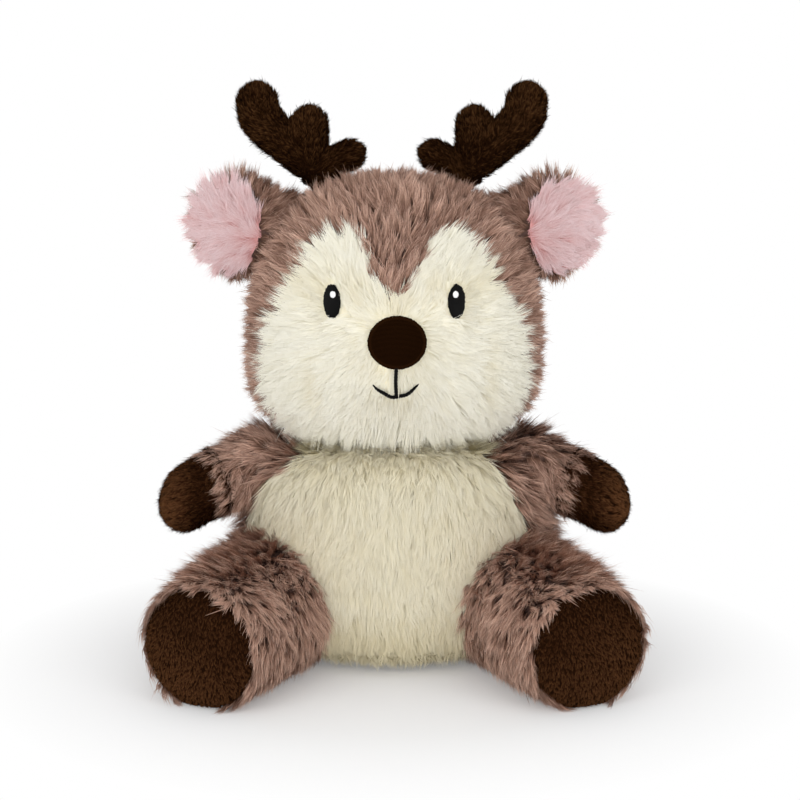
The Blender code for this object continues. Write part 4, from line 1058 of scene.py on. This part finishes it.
for side, mirror in SIDES:
    body, root, towards = "ear_" + side, EAR_ROOT * mirror, unit(EAR_TOWARDS * mirror)
    up = unit(np.array([0.0, 0.0, 1.0]) - towards * towards[2])
    forward = np.cross(up, towards) * -mirror[0]
    middle = root + towards * EAR_MIDDLE

    tube = np.linspace(0, 1, 40)
    swell, upper = (EAR_HEIGHT * share_of(tube, shares) for shares in (EAR_SWELL_SHARES, EAR_UPPER_SHARES))
    flat = swell * share_of(tube, EAR_FLAT_SHARES)
    turn = np.linspace(0, math.pi / 2 - 0.02, 10)[1:]
    crown_from = EAR_LENGTH - EAR_SHORTER - EAR_CROWN
    along = np.concatenate([[EAR_START], tube * crown_from, crown_from + EAR_CROWN * np.sin(turn)])
    high, upper, deep = (
        np.concatenate([size[:1], size, size[-1] * np.cos(turn)]) - inset
        for size, inset in ((swell, EAR_FABRIC_DEPTH), (upper, EAR_FABRIC_DEPTH), (flat, EAR_FRONT_DEPTH)))
    around = np.linspace(0, 2 * math.pi, 64, endpoint=False)
    tall = np.maximum(np.where(np.cos(around) > 0, upper[:, None], high[:, None]), 0.0004) * np.cos(around)
    thick = np.maximum(deep, 0.0003)[:, None] * np.sin(around)
    points = (root + towards * along[:, None, None] + up * tall[:, :, None]
              + forward * thick[:, :, None]).reshape(-1, 3)
    faces = outward(points, grid_faces(len(along), 64), middle)
    made_mesh("ear_skin_" + side, points, faces, mauve_backing, body, "ear_back_" + side)
    place, normal = scatter(points, faces, 24, 101)
    from_middle = place - middle
    out_along, out_up = from_middle @ towards, from_middle @ up
    in_lining = (out_along / 0.0148) ** 2 + ((out_up + LINING_LOWERED) / 0.0192) ** 2 < 1
    here = ~((from_middle @ forward > 0.001) & in_lining)
    outer = np.clip((out_along - out_up * 0.6) / 0.012, 0, 1)
    crown = np.clip((out_up - out_along * 0.3) / 0.012, 0, 1)
    inner = np.clip((-out_along - 0.002) / 0.010, 0, 1)
    radial = towards * out_along[:, None] + up * out_up[:, None]
    # Tone: darker on the inner side towards the head, painted shade where the ear meets it.
    grown("ear_fur_" + side, body, mauve, place[here], normal[here],
          (unit(radial) + towards * 0.3 + up * 0.1)[here], messy_pile, 102,
          length_share=(0.92 - 0.42 * outer + 0.15 * crown - 0.32 * inner)[here],
          lift_share=(1 + 0.10 * crown + 0.25 * inner)[here], tone_shift=(0.02 - 0.52 * inner)[here])

    share, around = ring_grid((0.01, 1), 20, 64)
    from_notch = np.mod(around + 0.9 + math.pi, 2 * math.pi) - math.pi
    share_cut = share * (1 - 0.20 * np.exp(-(from_notch / 0.6) ** 2))
    across = LINING_WIDE * share_cut * np.cos(around)
    upwards = LINING_HIGH * share_cut * np.sin(around) - LINING_LOWERED
    under_high, under_deep = (np.interp(EAR_MIDDLE + across, along, size) for size in (high, deep))
    under = under_deep * np.sqrt(np.clip(1 - (upwards / np.maximum(under_high, 0.001)) ** 2, 0, 1))
    out = np.maximum(under + 0.0010, 0.0024) - 0.0010 * np.exp(-(share / 0.35) ** 2)
    points = (middle + towards * across[..., None] + up * upwards[..., None]
              + forward * out[..., None]).reshape(-1, 3)
    faces = outward(points, grid_faces(20, 64), middle - forward * 0.02)
    made_mesh("ear_pink_skin_" + side, points, faces, pink_backing, body, "ear_lining_" + side)
    place, normal = scatter(points, faces, 30, 104)
    from_crease = place - (middle - towards * 0.0145 - up * 0.001)
    away = np.clip(np.linalg.norm(from_crease, axis=1) / 0.022, 0, 1)
    low_out = rising(from_crease @ towards - from_crease @ up * 1.2, 0.012, 0.012)
    # Tone: darker towards the crease, painted shade in the ear's fold.
    grown("ear_pink_fur_" + side, body, pink, place, normal, from_crease + towards * 0.003, soft_pile, 105,
          length_share=0.70 + 0.22 * away - 0.30 * low_out, lift_share=1.1 - 0.35 * away,
          tone_shift=0.48 * away - 0.27 + 0.10 * ripple(place, 0.012, 6))

# Antlers: a beam, a tine and a spur of short brown nap, painted darker as shade, in one stuffed cover, sewn
# to the top of the head.
# Three round branches are run together and smoothed, so the notches between them are soft.

ANTLER_ROOT, ANTLER_RISE, ANTLER_SHIFT = np.array([0.0317, 0.024, 0.20356]), 0.0400, 0.0022
ANTLER_FABRIC_DEPTH, ANTLER_FIBRE_DEPTH, ANTLER_VOXEL = 0.0002, 0.0028, 0.0009
BRANCHES = (
    (((-0.12, 0.0), (-0.05, 0.20), (0.22, 0.45), (0.55, 0.71), (0.67, 0.86), (0.69, 1.0)),
     (0.0068, 0.0074, 0.0086, 0.0088, 0.0089, 0.0087)),
    (((0.14, 0.45), (0.15, 0.60), (0.13, 0.765)), (0.0088, 0.0087, 0.0079)),
    (((-0.02, 0.28), (-0.16, 0.37), (-0.305, 0.44)), (0.0064, 0.0065, 0.0065)),
)


def branch_points(places, radii, inset, columns=40):
    """Closed round branch along a line in the antler's plane, with a half ball on each end."""
    centres = np.array([(x, 0.0, z) for x, z in places]) * ANTLER_RISE
    knots = np.linspace(0, 1, len(centres))
    fine = np.linspace(0, 1, 30)
    line = np.stack([np.interp(fine, knots, centres[:, k]) for k in range(3)], -1)
    size = np.interp(fine, knots, np.array(radii) - inset)
    tangent = unit(np.gradient(line, axis=0))
    turn = np.linspace(0.05, math.pi / 2, 9, endpoint=False)
    line = np.concatenate([line[0] - tangent[0] * (np.cos(turn) * size[0])[:, None], line,
                           line[-1] + tangent[-1] * (np.cos(turn) * size[-1])[::-1, None]])
    size = np.concatenate([np.sin(turn) * size[0], size, (np.sin(turn) * size[-1])[::-1]])
    tangent = np.concatenate([np.tile(tangent[0], (9, 1)), tangent, np.tile(tangent[-1], (9, 1))])
    wide = unit(np.cross(tangent, np.array([0.0, 1.0, 0.0])))
    around = np.linspace(0, 2 * math.pi, columns, endpoint=False)
    circle = (wide[:, None] * np.cos(around)[None, :, None]
              + np.array([0.0, 1.0, 0.0]) * np.sin(around)[None, :, None])
    points = line[:, None] + size[:, None, None] * circle
    points = np.concatenate([points.reshape(-1, 3), line[:1], line[-1:]])
    ring = np.arange(columns)
    first, last = np.full(columns, len(points) - 2), np.full(columns, len(points) - 1)
    end = (len(line) - 1) * columns
    faces = np.concatenate([grid_faces(len(line), columns), np.stack([first, np.roll(ring, -1), ring], -1),
                            np.stack([last, ring + end, np.roll(ring, -1) + end], -1)])
    return points, faces


def run_together(parts):
    """One smooth closed skin over several closed meshes that overlap."""
    points = np.concatenate([p for p, _ in parts])
    starts = np.cumsum([0] + [len(p) for p, _ in parts[:-1]])
    faces = np.concatenate([f + start for (_, f), start in zip(parts, starts)])
    rough = bpy.data.meshes.new("rough")
    rough.from_pydata(points.tolist(), [], faces.tolist())
    holder = put_in_scene("rough", rough)
    remesh = holder.modifiers.new("one_skin", "REMESH")
    remesh.mode = "VOXEL"
    remesh.voxel_size = ANTLER_VOXEL
    smooth = holder.modifiers.new("soft_notches", "SMOOTH")
    smooth.factor = 0.5
    smooth.iterations = 8
    ready = holder.evaluated_get(bpy.context.evaluated_depsgraph_get()).to_mesh()
    ready.calc_loop_triangles()
    points = np.empty(len(ready.vertices) * 3)
    ready.vertices.foreach_get("co", points)
    faces = np.empty(len(ready.loop_triangles) * 3, np.int32)
    ready.loop_triangles.foreach_get("vertices", faces)
    bpy.data.objects.remove(holder)
    return points.reshape(-1, 3), faces.reshape(-1, 3)


def antler_skin(inset):
    """The three branches in one skin, drawn in by an inset."""
    branches = []
    for places, radii in BRANCHES:
        points, faces = branch_points(places, radii, inset)
        corners = points[faces]
        volume = np.sum(corners[:, 0] * np.cross(corners[:, 1], corners[:, 2])) / 6
        branches.append((points, faces if volume > 0 else faces[:, ::-1]))
    return run_together(branches)


def set_on_head(points, faces, mirror):
    """An antler's points and triangles at its root. The left one stands a little nearer the middle."""
    root = ANTLER_ROOT * mirror - np.array([ANTLER_SHIFT * (mirror[0] > 0), 0.0, 0.0])
    return root + points * mirror, faces if mirror[0] > 0 else faces[:, ::-1]


antler_points, antler_faces = antler_skin(ANTLER_FABRIC_DEPTH)
antler_fill_points, antler_fill_faces = antler_skin(ANTLER_FIBRE_DEPTH)
antler_spots, antler_normals = scatter(antler_points, antler_faces, 65, 111)
branch_lines = np.array([(x, z) for places, _ in BRANCHES for x, z in places]) * ANTLER_RISE
branch_ways = np.concatenate([unit(np.gradient(np.array(places), axis=0)) for places, _ in BRANCHES])
nearest = np.argmin(np.linalg.norm(antler_spots[:, None, ::2] - branch_lines[None], axis=2), axis=1)
antler_flow = np.stack([branch_ways[nearest, 0], np.zeros(len(nearest)), branch_ways[nearest, 1]], -1)
# Tone: lighter towards the tops and darker overall; the overall darkening is painted shade.
tip_tone = 0.14 * np.clip((antler_spots[:, 2] - 0.026) / 0.012, -1, 1) - 0.24

for side, mirror in SIDES:
    points, faces = set_on_head(antler_points, antler_faces, mirror)
    made_mesh("antler_skin_" + side, points, faces, brown_backing, "antler_" + side, "antler_cover_" + side)
    place, _ = set_on_head(antler_spots, antler_faces, mirror)
    grown("antler_nap_" + side, "antler_" + side, shaded_nap, place, antler_normals * mirror,
          antler_flow * mirror, short_pile, 112, tone_shift=tip_tone)

# Tail: a small stuffed tuft of mauve fur, sewn low on the back.
# It points back and up, and its fur is brushed towards its end.

TAIL_ROOT, TAIL_TOWARDS = np.array([0.0, 0.06031, 0.026]), unit(np.array([0.0, 0.83, 0.56]))
TAIL_HALF, TAIL_RADIUS, TAIL_FABRIC_DEPTH = 0.00625, 0.0085, 0.0030

turn = np.linspace(0.03, math.pi - 0.03, 30)
along = TAIL_HALF - np.cos(turn) * (TAIL_HALF + TAIL_RADIUS - TAIL_FABRIC_DEPTH)
radius = (TAIL_RADIUS - TAIL_FABRIC_DEPTH) * np.sin(turn) ** 0.6
points, faces = limb_skin(TAIL_ROOT, TAIL_TOWARDS, along, radius, 40, 0.006)
made_mesh("tail_skin", points, faces, mauve_backing, "tail", "tail")
place, normal = scatter(points, faces, 16, 121)
free = ~inside_body(place, 0.003)
grown("tail_fur", "tail", mauve, place[free], normal[free], TAIL_TOWARDS, long_pile, 122, length_share=0.85)

# Stuffing: loose white fibre pushed in in tufts fills the body, head, arms, legs and antlers.
# A calico bag of pellets lies in a hollow of the body's stuffing and weighs the seat down.

STUFFING_INSET, LIMB_STUFFING_INSET = 0.0053, 0.0043
THREAD_PITCH, PELLET_SIZE, BAG_LOOSE = 0.0008, 0.0003, 1.02
SEAT_LEVEL = BODY["widest"] - BODY["drop"] + STUFFING_INSET
BAG = {"half_width": 0.030, "depth": 0.024, "rise": 0.016, "drop": 0.008, "y": MIDDLE_Y, "widest": SEAT_LEVEL,
       "powers": (2.0, 2.0), "muzzle": 0.0}


def tufted(points, faces, depth):
    """The surface drawn in by up to a depth in soft tufts: depth times a ripple about 12 mm long."""
    return points - point_normals(points, faces) * (depth * (0.5 + 0.25 * ripple(points, 0.012, 9)))[:, None]


def limb_filling(radius, length, shares, rows, crown):
    """Distance along a limb and radius of its stuffing, between its root's ball and its rounded end. The
    end's crown is the last radius where none is given."""
    turn = np.linspace(0.02, math.pi / 2, 12, endpoint=False)
    size = radius - LIMB_STUFFING_INSET
    tube = np.linspace(0, length, rows)
    tube_size = radius * share_of(tube / length, shares) - LIMB_STUFFING_INSET
    end = crown - LIMB_STUFFING_INSET if crown else tube_size[-1]
    along = np.concatenate([-np.cos(turn) * size, tube, length + end * np.cos(turn)[::-1]])
    return along, np.concatenate([np.sin(turn) * size, tube_size, tube_size[-1] * np.sin(turn)[::-1]])


fibre = Finish("fibre_filling", "fibre_filling", 0.95)
tangle = fibre.noise(900.0, 4.0, Distortion=2.5)
fibre.colour(fibre.mix(tangle, (0.72, 0.71, 0.68), (0.92, 0.91, 0.89)))
fibre.bump(tangle, 0.0006, 0.9)

calico = Finish("calico", "calico", 0.9)
warp, weft = calico.bands(THREAD_PITCH, "X"), calico.bands(THREAD_PITCH, "Y")
woven = warp * 0.5 + weft * 0.5
# Painted shade between the threads: darker where they part, lighter on their backs where they cross.
calico.colour(calico.mix(woven, (0.62, 0.56, 0.45), (0.80, 0.75, 0.64)))
calico.bump(woven, 0.0002, 0.8)

bag_points, bag_faces = swollen_skin(BAG, 30, 48)
bag_points[:, 2] = np.maximum(bag_points[:, 2], SEAT_LEVEL + 0.0004)
bag_centre = np.array([0, BAG["y"], SEAT_LEVEL + 0.006])
pellets = PELLET_SIZE * (1 + ripple(bag_points, 0.004, 5))
made_mesh("pellet_bag_cloth", bag_points - point_normals(bag_points, bag_faces) * pellets[:, None], bag_faces,
          calico, "torso", "pellet_bag")

points, faces = swollen_skin(shrunk(BODY, STUFFING_INSET), 50, 90)
hollow = bag_centre + (bag_points - bag_centre) * BAG_LOOSE
made_mesh("body_fibre", np.concatenate([tufted(points, faces, 0.0008), hollow]),
          np.concatenate([faces, bag_faces[:, ::-1] + len(points)]), fibre, "torso", "body_stuffing")
points, faces = swollen_skin(shrunk(HEAD, STUFFING_INSET), 50, 90)
made_mesh("head_fibre", tufted(points, faces, 0.0008), faces, fibre, "head", "head_stuffing")

leg_filling = limb_filling(LEG_RADIUS, LEG_LENGTH, LEG_RADIUS_SHARES, 24, SOLE_CROWN)
arm_filling = limb_filling(ARM_RADIUS, ARM_LENGTH, ARM_RADIUS_SHARES, 16, None)
for side, mirror in SIDES:
    for limb, root, towards, filling, columns, middle, curl, depth in (
            ("leg", LEG_ROOT, LEG_TOWARDS, leg_filling, 48, 0.036, 0.0, 0.0006),
            ("arm", ARM_ROOT, ARM_TOWARDS, arm_filling, 40, 0.018, HOOF_CURL, 0.0005)):
        points, faces = limb_skin(root * mirror, unit(towards * mirror), *filling, columns, middle, curl,
                                  ARM_LENGTH)
        made_mesh(f"{limb}_fibre_{side}", tufted(points, faces, depth), faces, fibre, f"{limb}_{side}",
                  f"{limb}_stuffing_{side}")
    points, faces = set_on_head(antler_fill_points, antler_fill_faces, mirror)
    made_mesh("antler_fibre_" + side, points, faces, fibre, "antler_" + side, "antler_stuffing_" + side)
